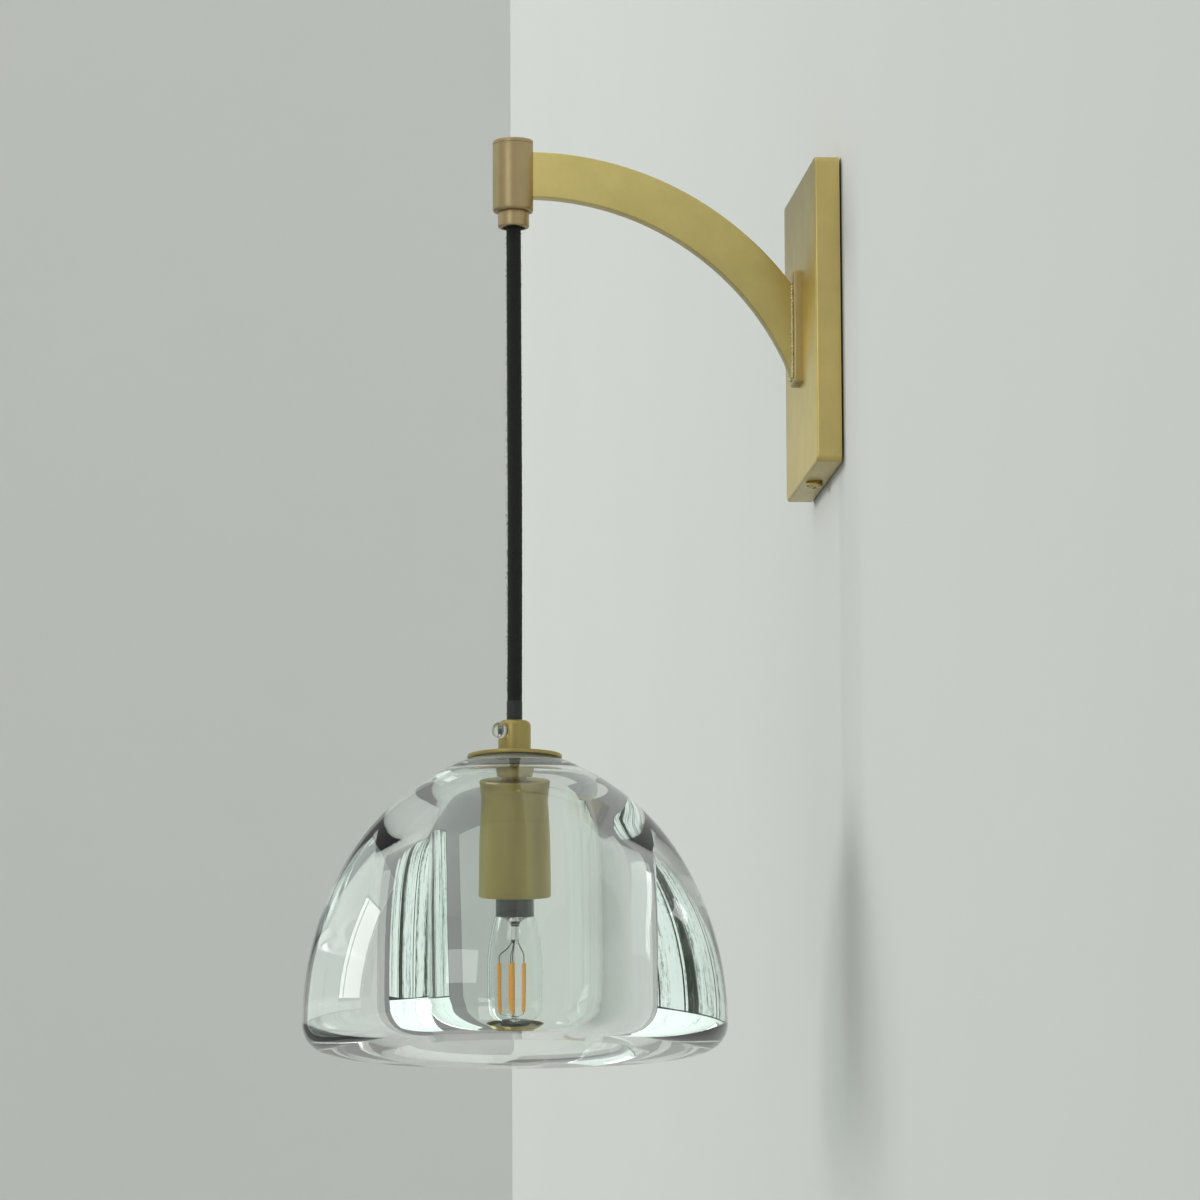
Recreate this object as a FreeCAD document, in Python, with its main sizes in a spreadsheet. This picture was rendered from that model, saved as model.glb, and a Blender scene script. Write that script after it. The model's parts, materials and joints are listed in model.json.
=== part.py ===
"""Wall sconce with a hanging glass pendant.

Frame: millimetres, +Z up. The origin is the middle of the wall bracket's back, on the wall.
The wall is the plane y = 0 and the light stands out from it toward -Y. X runs along the wall.
"""
import FreeCAD, Part
import math
import os
import re
import Sketcher

V = FreeCAD.Vector

SIZES = {
    # backplate cover and wall bracket
    "plate_width": 112.0,
    "plate_height": 147.0,
    "plate_depth": 12.0,
    "plate_wall": 1.5,
    "plate_corner": 3.0,
    "plate_edge": 1.4,
    "wall_gap": 1.0,
    "strap_width": 34.0,
    "strap_thickness": 2.0,
    "strap_clearance": 0.3,
    "tab_length": 9.5,
    "slot_spacing": 96.0,
    "slot_width": 5.0,
    "slot_length": 14.0,
    "cable_hole": 18.0,
    "cover_screw_setback": 6.8,
    "cover_screw_size": 4.0,
    "cover_screw_head": 8.0,
    "cover_head_height": 2.6,
    "cover_screw_length": 8.0,
    "screw_clearance": 0.1,
    "recess_depth": 1.3,
    "recess_width": 1.1,
    "earth_screw_side": 11.0,
    "earth_screw_level": 30.0,
    "earth_screw_length": 3.0,
    # foot pad and arm
    "foot_width": 15.0,
    "foot_height": 55.0,
    "foot_thickness": 3.9,
    "foot_corner": 1.2,
    "foot_edge": 1.0,
    "foot_offset": 2.3,
    "foot_screw_spacing": 40.0,
    "foot_screw_size": 4.0,
    "foot_screw_head": 7.0,
    "foot_head_height": 2.2,
    "foot_screw_depth": 2.8,
    "wire_slot_height": 26.0,
    "arm_height": 22.0,
    "arm_thickness": 8.0,
    "arm_wall": 1.2,
    "arm_sweep": 69.7,
    "arm_level": 18.1,
    "weld_size": 1.6,
    # hub, ferrule and swing bush
    "reach": 151.0,
    "hub_base": 56.0,
    "hub_diameter": 20.0,
    "hub_height": 33.0,
    "hub_wall": 2.0,
    "hub_floor": 2.0,
    "hub_edge": 1.5,
    "hub_flat_depth": 0.9,
    "cap_height": 2.0,
    "cap_edge": 0.8,
    "cap_spigot": 3.0,
    "ferrule_diameter": 15.0,
    "ferrule_height": 7.6,
    "ferrule_edge": 0.9,
    "ferrule_spigot": 14.0,
    "ring_nut_height": 2.5,
    "seat_radius": 6.1,
    "seat_clearance": 0.2,
    "pivot_height": 2.6,
    "bush_base": 1.8,
    "bush_bore": 4.0,
    "cord_clearance": 0.25,
    "swing_flare": 20.0,
    "anchor_height": 7.0,
    "tail_rise": 4.0,
    # cord, sleeve and grip
    "cord_diameter": 6.8,
    "cord_drop": 238.6,
    "cord_entry": 6.0,
    "sleeve_wall": 0.3,
    "sleeve_length": 9.2,
    "grip_diameter": 15.4,
    "grip_height": 16.2,
    "grip_round": 2.6,
    "grip_web": 2.6,
    "lead_hole": 5.6,
    "clamp_level": 10.4,
    "clamp_angle": -45.0,
    "clamp_screw_size": 4.0,
    "clamp_screw_fit": 0.05,
    "clamp_head": 7.4,
    "clamp_head_height": 3.0,
    "clamp_head_gap": 2.0,
    "clamp_slot": 1.0,
    # discs, glass and lamp cup
    "disc_diameter": 44.8,
    "disc_thickness": 2.0,
    "disc_edge": 0.8,
    "gasket_diameter": 40.0,
    "gasket_thickness": 0.6,
    "nipple_diameter": 10.0,
    "nipple_bore": 6.0,
    "nipple_hole_clearance": 0.2,
    "thread_clearance": 0.05,
    "glass_radius": 100.0,
    "glass_height": 138.2,
    "glass_top_radius": 22.5,
    "glass_top_slope": 21.0,
    "glass_edge": 13.0,
    "glass_slab": 10.0,
    "glass_hole": 11.0,
    "cavity_radius": 41.3,
    "disc_overhang": 5.1,
    "mouth_flare": 20.0,
    "nut_width": 17.0,
    "nut_height": 5.4,
    "collar_diameter": 17.0,
    "collar_height": 7.2,
    "collar_neck": 12.0,
    "collar_neck_height": 3.2,
    "cup_diameter": 34.0,
    "cup_height": 53.6,
    "cup_wall": 1.2,
    "cup_top": 2.0,
    "cup_round": 2.0,
    "set_screw_size": 2.4,
    "set_screw_level": 7.6,
    # lampholder
    "holder_diameter": 27.0,
    "holder_cap_height": 12.0,
    "holder_cap_wall": 1.6,
    "holder_cap_top": 3.0,
    "holder_spigot": 6.0,
    "holder_length": 31.8,
    "holder_roof": 11.0,
    "lead_entry": 3.0,
    "shell_diameter": 15.2,
    "shell_wall": 0.4,
    "shell_clearance": 0.1,
    "shell_setback": 1.0,
    "contact_thickness": 0.4,
    "contact_width": 5.0,
    "lead_diameter": 1.7,
    "lead_circle": 2.8,
    # bulb
    "bulb_cap_clearance": 0.25,
    "bulb_cap_wall": 0.4,
    "bulb_cap_height": 20.0,
    "bulb_seat_gap": 0.6,
    "bulb_collar_diameter": 18.0,
    "bulb_collar_height": 14.0,
    "bulb_insulator_height": 2.5,
    "bulb_tip_height": 1.2,
    "bulb_tip_diameter": 5.2,
    "bulb_diameter": 26.1,
    "bulb_neck_diameter": 18.6,
    "bulb_shoulder": 19.0,
    "bulb_length": 39.0,
    "bulb_glass": 0.7,
    "stem_length": 9.0,
    "stem_diameter": 3.6,
    "filament_diameter": 2.0,
    "filament_length": 19.0,
    "filament_circle": 11.6,
    "filament_start": 15.2,
    "filament_offset": 1.6,
    "support_wire": 0.5,
    # wiring in the arm and on the bracket
    "wire_diameter": 1.7,
    "wire_pitch": 1.8,
    "wire_rise": 5.0,
    "wire_bend": 6.0,
    "wire_depth": 6.2,
    "terminal_width": 24.0,
    "terminal_height": 14.0,
    "terminal_thickness": 6.8,
    "terminal_pitch": 7.0,
    "terminal_level": 18.0,
    "terminal_hole": 2.4,
    "terminal_screw": 3.0,
    "terminal_recess": 0.5,
    "wire_entry": 4.0,
}

PARTS = []

doc = FreeCAD.newDocument("wall_pendant")
sheet = doc.addObject("Spreadsheet::Sheet", "Sizes")
for row, (alias, number) in enumerate(SIZES.items(), start=1):
    sheet.set("A%d" % row, alias)
    sheet.set("B%d" % row, str(number))
    sheet.setAlias("B%d" % row, alias)
doc.recompute()

# Levels and spans that several pieces share, as formulas on the sheet's names.
FOOT_FRONT = "(wall_gap + plate_depth + foot_thickness)"
HUB_FLAT = "(hub_diameter / 2 - hub_flat_depth)"
ARM_SPAN = "(reach - hub_diameter / 2 + hub_flat_depth - wall_gap - plate_depth - foot_thickness)"
ARM_INNER = f"({ARM_SPAN} / sin(arm_sweep))"
ARM_OUTER = f"({ARM_INNER} + arm_height)"
ARM_MIDDLE = "(hub_base + arm_level)"
ARM_CENTRE = f"({ARM_MIDDLE} - {ARM_INNER} - arm_height / 2)"
ARM_END_TOP = f"sqrt({ARM_OUTER} * {ARM_OUTER} - {ARM_SPAN} * {ARM_SPAN})"
ARM_END_LOW = f"sqrt({ARM_INNER} * {ARM_INNER} - {ARM_SPAN} * {ARM_SPAN})"
FOOT_LEVEL = f"({ARM_CENTRE} + ({ARM_END_TOP} + {ARM_END_LOW}) / 2 + foot_offset)"
CHANNEL_WIDTH = "(arm_thickness - 2 * arm_wall)"
FERRULE_BASE = "(hub_base - ferrule_height)"
PIVOT = f"({FERRULE_BASE} + pivot_height)"
SPIGOT_TOP = "(hub_base + hub_floor + ring_nut_height)"
BUSH_RADIUS = "(seat_radius - seat_clearance)"
GRIP_TOP = f"({FERRULE_BASE} - cord_drop)"
GRIP_BASE = f"({GRIP_TOP} - grip_height)"
CORD_END = f"({GRIP_TOP} - cord_entry)"
GLASS_TOP = f"({GRIP_BASE} - disc_thickness - gasket_thickness)"
SLAB_BASE = f"({GLASS_TOP} - glass_slab)"
LOWER_DISC_TOP = f"({SLAB_BASE} - gasket_thickness)"
NUT_TOP = f"({LOWER_DISC_TOP} - disc_thickness)"
COLLAR_TOP = f"({NUT_TOP} - nut_height)"
CUP_TOP = f"({COLLAR_TOP} - collar_height - collar_neck_height)"
HOLDER_TOP = f"({CUP_TOP} - cup_top)"
HOLDER_JOINT = f"({HOLDER_TOP} - holder_cap_height)"
HOLDER_CEILING = f"({HOLDER_JOINT} + holder_spigot - holder_roof)"
HOLDER_BASE = f"({HOLDER_JOINT} - holder_length)"
BULB_TOP = f"({HOLDER_BASE} - bulb_seat_gap)"
BULB_BASE = f"({BULB_TOP} - bulb_collar_height)"
BULB_TIP = f"({BULB_TOP} + bulb_cap_height + bulb_insulator_height + bulb_tip_height)"
CEILING_FLAT = "(disc_diameter / 2 - disc_overhang)"
THREAD_RADIUS = "(nipple_diameter / 2 + thread_clearance)"
NIPPLE_HOLE = "(nipple_diameter / 2 + nipple_hole_clearance)"
BULB_CAP_RADIUS = "(shell_diameter / 2 - shell_wall - bulb_cap_clearance)"


def bound(text):
    """The same formula with each size name pointing at the sheet."""
    return re.sub(r"[a-z_]+", lambda m: "Sizes." + m.group(0) if m.group(0) in SIZES else m.group(0), text)


def value(text):
    """What a formula on the sheet's names comes to now."""
    return float(sheet.evalExpression(text))


def origin_feature(piece, role):
    return [item for item in piece.Origin.OriginFeatures if item.Role == role][0]


def new_body(name, x="0", y="0", z="0"):
    """An empty body that stands for one real piece, with its place bound to the sheet."""
    piece = doc.addObject("PartDesign::Body", name)
    piece.Label = name
    piece.AllowCompound = True
    for axis, text in (("x", x), ("y", y), ("z", z)):
        piece.setExpression("Placement.Base." + axis, bound(text))
    PARTS.append(piece)
    return piece


def new_sketch(piece, plane, offset="0"):
    """A sketch on one of the body's own planes, moved along the plane's normal by offset."""
    drawing = piece.newObject("Sketcher::SketchObject", piece.Name + "_sketch")
    drawing.AttachmentSupport = [(origin_feature(piece, plane), "")]
    drawing.MapMode = "FlatFace"
    drawing.setExpression("AttachmentOffset.Base.z", bound(offset))
    return drawing


def fix_point(drawing, edge, end, x, y):
    """Hold one point of an edge at x, y from the sketch's origin."""
    for kind, text in (("DistanceX", x), ("DistanceY", y)):
        number = drawing.addConstraint(Sketcher.Constraint(kind, -1, 1, edge, end, value(text)))
        drawing.setExpression("Constraints[%d]" % number, bound(text))


def fix_radius(drawing, edge, text):
    number = drawing.addConstraint(Sketcher.Constraint("Radius", edge, value(text)))
    drawing.setExpression("Constraints[%d]" % number, bound(text))


def arc_between(start, end, radius, turn):
    """The short arc from start to end, counterclockwise where turn is 1 and clockwise where it is -1."""
    along = end - start
    rise = math.sqrt(max(radius ** 2 - along.Length ** 2 / 4, 0.0))
    side = V(-along.y, along.x, 0).normalize()
    centre = (start + end) * 0.5 + side * rise * turn
    first, last = (start, end) if turn > 0 else (end, start)
    from_angle = math.atan2(first.y - centre.y, first.x - centre.x)
    to_angle = math.atan2(last.y - centre.y, last.x - centre.x)
    if to_angle < from_angle:
        to_angle += 2 * math.pi
    return Part.ArcOfCircle(Part.Circle(centre, V(0, 0, 1), radius), from_angle, to_angle)


def outline(drawing, corners):
    """A closed outline. (x, y) starts a straight edge; (x, y, radius, turn) starts an arc."""
    places = [V(value(corner[0]), value(corner[1]), 0) for corner in corners]
    edges = []
    for here, corner in enumerate(corners):
        start, end = places[here], places[(here + 1) % len(corners)]
        if len(corner) == 2:
            edges.append((drawing.addGeometry(Part.LineSegment(start, end), False), 1, 2))
            continue
        shape = arc_between(start, end, value(corner[2]), corner[3])
        number = drawing.addGeometry(shape, False)
        edges.append((number, 1, 2) if corner[3] > 0 else (number, 2, 1))
    for here, edge in enumerate(edges):
        after = edges[(here + 1) % len(edges)]
        drawing.addConstraint(Sketcher.Constraint("Coincident", edge[0], edge[2], after[0], after[1]))
        fix_point(drawing, edge[0], edge[1], corners[here][0], corners[here][1])
        if len(corners[here]) > 2:
            fix_radius(drawing, edge[0], corners[here][2])


def circle(drawing, x, y, radius):
    shape = Part.Circle(V(value(x), value(y), 0), V(0, 0, 1), value(radius))
    edge = drawing.addGeometry(shape, False)
    fix_point(drawing, edge, 3, x, y)
    fix_radius(drawing, edge, radius)


def rectangle(x, y, width, height):
    """Corners of an upright rectangle with its middle at x, y."""
    left, right = f"{x} - {width} / 2", f"{x} + {width} / 2"
    low, high = f"{y} - {height} / 2", f"{y} + {height} / 2"
    return [(left, low), (right, low), (right, high), (left, high)]


def rounded_rectangle(width, height, corner):
    """Corners of a rectangle about the origin with quarter rounds of radius corner."""
    x, y = f"{width} / 2", f"{height} / 2"
    inner_x, inner_y = f"({x} - {corner})", f"({y} - {corner})"
    return [
        (f"-{inner_x}", f"-({y})"),
        (inner_x, f"-({y})", corner, 1),
        (x, f"-{inner_y}"),
        (x, inner_y, corner, 1),
        (inner_x, y),
        (f"-{inner_x}", y, corner, 1),
        (f"-({x})", inner_y),
        (f"-({x})", f"-{inner_y}", corner, 1),
    ]


def upright_slot(x, y, width, length):
    """Corners of a slot with half round ends, each end as two quarter rounds."""
    radius = f"({width} / 2)"
    reach = f"({length} / 2 - {width} / 2)"
    return [
        (f"{x} + {radius}", f"{y} - {reach}"),
        (f"{x} + {radius}", f"{y} + {reach}", radius, 1),
        (x, f"{y} + {reach} + {radius}", radius, 1),
        (f"{x} - {radius}", f"{y} + {reach}"),
        (f"{x} - {radius}", f"{y} - {reach}", radius, 1),
        (x, f"{y} - {reach} - {radius}", radius, 1),
    ]


def ring(inner, outer, low, high, edge=None):
    """Half section of a ring, with its outer edges rounded where edge is given."""
    if edge is None:
        return [(inner, low), (outer, low), (outer, high), (inner, high)]
    return [
        (inner, low),
        (f"{outer} - {edge}", low, edge, 1),
        (outer, f"{low} + {edge}"),
        (outer, f"{high} - {edge}", edge, 1),
        (f"{outer} - {edge}", high),
        (inner, high),
    ]


def pad(piece, drawing, length, both=False, back=False):
    feature = piece.newObject("PartDesign::Pad", piece.Name + "_pad")
    feature.Profile = drawing
    feature.SideType = "Symmetric" if both else "One side"
    feature.Reversed = back
    feature.setExpression("Length", bound(length))
    return feature


def revolve(piece, corners, plane="XZ_Plane", axis="V_Axis"):
    """Turn a half section about the body's upright axis, or about another axis of the sketch."""
    drawing = new_sketch(piece, plane)
    outline(drawing, corners)
    feature = piece.newObject("PartDesign::Revolution", piece.Name + "_turned")
    feature.Profile = drawing
    feature.ReferenceAxis = (drawing, [axis])
    feature.Angle = 360
    return feature


def cut(piece, drawing, depth=None, both=False, back=False):
    """A pocket, through everything where depth is None, that has to take material away."""
    doc.recompute()
    before = piece.Shape.Volume
    feature = piece.newObject("PartDesign::Pocket", piece.Name + "_pocket")
    feature.Profile = drawing
    feature.SideType = "Symmetric" if both else "One side"
    feature.Reversed = back
    if depth is None:
        feature.Type = "ThroughAll"
    else:
        feature.setExpression("Length", bound(depth))
    doc.recompute()
    if not piece.Shape.Volume < before - 0.001:
        raise ValueError("a pocket in %s cuts nothing" % piece.Name)
    return feature


def round_edges(piece, radius, chosen):
    """Round the edges of the body that chosen picks."""
    doc.recompute()
    base = piece.Tip
    names = ["Edge%d" % n for n, edge in enumerate(base.Shape.Edges, start=1) if chosen(edge)]
    feature = piece.newObject("PartDesign::Fillet", piece.Name + "_fillet")
    feature.Base = (base, names)
    feature.setExpression("Radius", bound(radius))
    return feature


def at_level(edge, axis, level):
    """True where the whole edge lies at one level along X, Y or Z."""
    box = edge.BoundBox
    low, high = getattr(box, axis + "Min"), getattr(box, axis + "Max")
    return abs(low - level) < 0.001 and abs(high - level) < 0.001


def repeat(piece, kind, features, **settings):
    """A mirror or pattern of some features, which the body then ends with."""
    feature = piece.newObject("PartDesign::" + kind, piece.Name + "_repeat")
    feature.Originals = features
    for name, setting in settings.items():
        setattr(feature, name, setting)
    piece.Tip = feature
    return feature


# ---------------------------------------------------------------- wall plate


def backplate_cover():
    """Shallow box, open at the wall, drawn from one sheet with soft edges."""
    piece = new_body("backplate_cover", y="-wall_gap")
    drawing = new_sketch(piece, "XZ_Plane")
    outline(drawing, rounded_rectangle("plate_width", "plate_height", "plate_corner"))
    pad(piece, drawing, "plate_depth")
    front = -value("plate_depth")
    round_edges(piece, "plate_edge", lambda edge: at_level(edge, "Y", front))
    inside = new_sketch(piece, "XZ_Plane")
    inner_corner = "(plate_corner - plate_wall)"
    width, height = "(plate_width - 2 * plate_wall)", "(plate_height - 2 * plate_wall)"
    outline(inside, rounded_rectangle(width, height, inner_corner))
    cut(piece, inside, "plate_depth - plate_wall", back=True)
    front_holes = new_sketch(piece, "XZ_Plane")
    outline(front_holes, upright_slot("0", FOOT_LEVEL, CHANNEL_WIDTH, "wire_slot_height"))
    for side in ("+", "-"):
        level = f"{FOOT_LEVEL} {side} foot_screw_spacing / 2"
        circle(front_holes, "0", level, "foot_screw_size / 2 + screw_clearance")
    cut(piece, front_holes, back=True)
    end_holes = new_sketch(piece, "XY_Plane")
    circle(end_holes, "0", "wall_gap - cover_screw_setback", "cover_screw_size / 2 + screw_clearance")
    cut(piece, end_holes, both=True)


def wall_bracket():
    """Steel strap with its ends bent out into tabs that hold the cover's screws."""
    piece = new_body("wall_bracket")
    half = "(plate_height / 2 - plate_wall - strap_clearance)"
    bend = "(strap_thickness * 1.25)"
    inner = f"({half} - strap_thickness)"
    drawing = new_sketch(piece, "YZ_Plane")
    outline(drawing, [
        ("0", f"{bend} - {half}"),
        ("0", f"{half} - {bend}", bend, 1),
        (f"-{bend}", half),
        ("-tab_length", half),
        ("-tab_length", inner),
        ("-strap_thickness", inner),
        ("-strap_thickness", f"-{inner}"),
        ("-tab_length", f"-{inner}"),
        ("-tab_length", f"-{half}"),
        (f"-{bend}", f"-{half}", bend, 1),
    ])
    pad(piece, drawing, "strap_width", both=True)
    holes = new_sketch(piece, "XZ_Plane")
    circle(holes, "0", "0", "cable_hole / 2")
    for side in ("", "-"):
        outline(holes, upright_slot("0", f"{side}slot_spacing / 2", "slot_width", "slot_length"))
    circle(holes, "earth_screw_side", "earth_screw_level", "cover_screw_size / 2 + thread_clearance")
    cut(piece, holes, back=True)
    tab_holes = new_sketch(piece, "XY_Plane")
    circle(tab_holes, "0", "-cover_screw_setback", "cover_screw_size / 2 + thread_clearance")
    cut(piece, tab_holes, both=True)


def cross(size, width):
    """Corners of a plus sign about the origin."""
    far, near = f"({size} / 2)", f"({width} / 2)"
    points = [(far, near), (near, near), (near, far)]
    corners = []
    for x_sign, y_sign, order in (("", "", 1), ("-", "", -1), ("-", "-", 1), ("", "-", -1)):
        corners += [(x_sign + x, y_sign + y) for x, y in points[::order]]
    return corners


def cover_screws():
    """Pan head screws with a cross recess, one up through the cover's underside and one down."""
    piece = new_body("cover_screws", y="-cover_screw_setback")
    face = "(-plate_height / 2)"
    head, shank = "(cover_screw_head / 2)", "(cover_screw_size / 2)"
    soft = "(cover_head_height * 0.55)"
    low = f"({face} - cover_head_height)"
    turned = revolve(piece, [
        ("0", low),
        (f"{head} - {soft}", low, soft, 1),
        (head, f"{low} + {soft}"),
        (head, face),
        (shank, face),
        (shank, f"{face} + cover_screw_length"),
        ("0", f"{face} + cover_screw_length"),
    ])
    recess = new_sketch(piece, "XY_Plane", low)
    outline(recess, cross("cover_screw_head * 0.6", "recess_width"))
    crossed = cut(piece, recess, "recess_depth", back=True)
    repeat(piece, "Mirrored", [turned, crossed], MirrorPlane=(origin_feature(piece, "XY_Plane"), [""]))


def earth_screw():
    """Small pan head screw on the bracket for the earth wire."""
    piece = new_body("earth_screw", "earth_screw_side", "-strap_thickness", "earth_screw_level")
    shank = "(cover_screw_size / 2)"
    revolve(piece, [
        ("-cover_head_height", "0"),
        ("earth_screw_length - 1", "0"),
        ("earth_screw_length - 1", shank),
        ("0", shank),
        ("0", "foot_screw_head / 2"),
        ("-cover_head_height", "foot_screw_head / 2"),
    ], "YZ_Plane", "H_Axis")


def terminal_block():
    """Three way strip with a hole for each wire and a well for each screw."""
    piece = new_body("terminal_block", "0", "-strap_thickness", "-terminal_level")
    drawing = new_sketch(piece, "XZ_Plane")
    outline(drawing, rectangle("0", "-terminal_height / 2", "terminal_width", "terminal_height"))
    pad(piece, drawing, "terminal_thickness")
    ways = new_sketch(piece, "XY_Plane")
    wells = new_sketch(piece, "XZ_Plane", "terminal_thickness")
    depth = "(strap_thickness - wire_depth)"
    for way in ("-terminal_pitch", "0", "terminal_pitch"):
        circle(ways, way, depth, "terminal_hole / 2")
        circle(wells, way, "-terminal_height / 2", "terminal_screw / 2 + screw_clearance")
    cut(piece, ways)
    cut(piece, wells, "terminal_thickness + strap_thickness - wire_depth")


def terminal_screws():
    """The three clamp screws, sunk in their wells onto the ledges beside the wire holes."""
    piece = new_body("terminal_screws", "-terminal_pitch", "-wire_depth",
                     "-terminal_level - terminal_height / 2")
    drawing = new_sketch(piece, "XZ_Plane")
    circle(drawing, "0", "0", "terminal_screw / 2")
    shank = pad(piece, drawing, "strap_thickness + terminal_thickness - wire_depth - terminal_recess")
    doc.recompute()
    row = repeat(piece, "LinearPattern", [shank], Direction=(origin_feature(piece, "X_Axis"), [""]),
                 Occurrences=3)
    row.setExpression("Length", bound("2 * terminal_pitch"))


# ---------------------------------------------------------------- foot and arm


def foot_pad():
    """Narrow pad that the arm is welded to."""
    piece = new_body("foot_pad", "0", "-wall_gap - plate_depth", FOOT_LEVEL)
    drawing = new_sketch(piece, "XZ_Plane")
    outline(drawing, rounded_rectangle("foot_width", "foot_height", "foot_corner"))
    pad(piece, drawing, "foot_thickness")
    front = -value("foot_thickness")
    round_edges(piece, "foot_edge", lambda edge: at_level(edge, "Y", front))
    wire_way = new_sketch(piece, "XZ_Plane")
    outline(wire_way, upright_slot("0", "0", CHANNEL_WIDTH, "wire_slot_height"))
    cut(piece, wire_way, back=True)
    tapped = new_sketch(piece, "XZ_Plane")
    for side in ("", "-"):
        level = f"{side}foot_screw_spacing / 2"
        circle(tapped, "0", level, "foot_screw_size / 2 + thread_clearance")
    cut(piece, tapped, "foot_screw_depth", back=True)


def foot_screws():
    """Two screws from inside the cover, through its front wall into the pad."""
    piece = new_body("foot_screws", "0", "-wall_gap - plate_depth + plate_wall",
                     f"{FOOT_LEVEL} - foot_screw_spacing / 2")
    tip = "(-plate_wall - foot_screw_depth + screw_clearance)"
    turned = revolve(piece, [
        (tip, "0"),
        ("foot_head_height", "0"),
        ("foot_head_height", "foot_screw_head / 2"),
        ("0", "foot_screw_head / 2"),
        ("0", "foot_screw_size / 2"),
        (tip, "foot_screw_size / 2"),
    ], "YZ_Plane", "H_Axis")
    doc.recompute()
    row = repeat(piece, "LinearPattern", [turned], Direction=(origin_feature(piece, "Z_Axis"), [""]),
                 Occurrences=2)
    row.setExpression("Length", bound("foot_screw_spacing"))


def arm_section(inset):
    """Side view of the arm about its bend centre, drawn in by inset above and below."""
    outer, inner = f"({ARM_OUTER} - {inset})", f"({ARM_INNER} + {inset})"
    return [
        ("0", inner),
        ("0", outer, outer, -1),
        (ARM_SPAN, f"sqrt({outer} * {outer} - {ARM_SPAN} * {ARM_SPAN})"),
        (ARM_SPAN, f"sqrt({inner} * {inner} - {ARM_SPAN} * {ARM_SPAN})", inner, 1),
    ]


def arm_tube():
    """Flat rectangular tube bent the strong way, cut square at the hub and upright at the foot."""
    piece = new_body("arm_tube", "0", f"{HUB_FLAT} - reach", ARM_CENTRE)
    drawing = new_sketch(piece, "YZ_Plane")
    outline(drawing, arm_section("0"))
    pad(piece, drawing, "arm_thickness", both=True)
    channel = new_sketch(piece, "YZ_Plane")
    outline(channel, arm_section("arm_wall"))
    cut(piece, channel, CHANNEL_WIDTH, both=True)


def weld_beads():
    """Fillet welds up both sides of the arm where it meets the pad."""
    piece = new_body("weld_beads", "0", f"-{FOOT_FRONT}", f"{ARM_CENTRE} + {ARM_END_LOW}")
    side = "(arm_thickness / 2)"
    drawing = new_sketch(piece, "XY_Plane")
    outline(drawing, [
        (side, "0"),
        (side, "-weld_size", "weld_size", 1),
        (f"{side} + weld_size", "0"),
    ])
    bead = pad(piece, drawing, f"{ARM_END_TOP} - {ARM_END_LOW}")
    doc.recompute()
    repeat(piece, "Mirrored", [bead], MirrorPlane=(origin_feature(piece, "YZ_Plane"), [""]))


# ---------------------------------------------------------------- hub and ferrule


def cut_flat(piece):
    """The flat down the hub's wall side, where the arm butts."""
    drawing = new_sketch(piece, "XY_Plane")
    outline(drawing, [
        ("-hub_diameter", HUB_FLAT),
        ("hub_diameter", HUB_FLAT),
        ("hub_diameter", "hub_diameter"),
        ("-hub_diameter", "hub_diameter"),
    ])
    cut(piece, drawing, both=True)


def hub_shell():
    """Upright barrel with a floor, open at the top, and a window into the arm."""
    piece = new_body("hub_shell", "0", "-reach", "hub_base")
    outer, inner = "(hub_diameter / 2)", "(hub_diameter / 2 - hub_wall)"
    hole = "(ferrule_spigot / 2 + thread_clearance)"
    revolve(piece, [
        (hole, "0"),
        (f"{outer} - hub_edge", "0", "hub_edge", 1),
        (outer, "hub_edge"),
        (outer, "hub_height"),
        (inner, "hub_height"),
        (inner, "hub_floor"),
        (hole, "hub_floor"),
    ])
    cut_flat(piece)
    window = new_sketch(piece, "XZ_Plane")
    outline(window, rectangle("0", "arm_level", CHANNEL_WIDTH, "(arm_height - 2 * arm_wall)"))
    cut(piece, window, "hub_diameter")


def hub_cap():
    """Lid with a soft upper edge and a plug that fits the barrel."""
    piece = new_body("hub_cap", "0", "-reach", "hub_base + hub_height")
    outer = "(hub_diameter / 2)"
    plug = "(hub_diameter / 2 - hub_wall - screw_clearance)"
    revolve(piece, [
        ("0", "-cap_spigot"),
        (plug, "-cap_spigot"),
        (plug, "0"),
        (outer, "0"),
        (outer, "cap_height - cap_edge", "cap_edge", 1),
        (f"{outer} - cap_edge", "cap_height"),
        ("0", "cap_height"),
    ])
    cut_flat(piece)


def cord_ferrule():
    """Short collar under the hub. Its mouth is a ball seat that the swing bush hangs in."""
    piece = new_body("cord_ferrule", "0", "-reach", PIVOT)
    outer, spigot = "(ferrule_diameter / 2)", "(ferrule_spigot / 2)"
    throat = "(cord_diameter / 2 + seat_clearance)"
    shoulder = "(ferrule_height - pivot_height)"
    top = f"({SPIGOT_TOP} - {PIVOT})"
    revolve(piece, [
        ("sqrt(seat_radius * seat_radius - pivot_height * pivot_height)", "-pivot_height", "seat_radius", 1),
        (throat, f"sqrt(seat_radius * seat_radius - {throat} * {throat})"),
        (throat, top),
        (spigot, top),
        (spigot, shoulder),
        (outer, shoulder),
        (outer, "ferrule_edge - pivot_height", "ferrule_edge", -1),
        (f"{outer} - ferrule_edge", "-pivot_height"),
    ])


def ferrule_nut():
    """Ring nut inside the hub that draws the ferrule up."""
    piece = new_body("ferrule_nut", "0", "-reach", "hub_base + hub_floor")
    inner = "(ferrule_spigot / 2 + thread_clearance)"
    outer = "(hub_diameter / 2 - hub_wall - screw_clearance)"
    revolve(piece, ring(inner, outer, "0", "ring_nut_height"))


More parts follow.
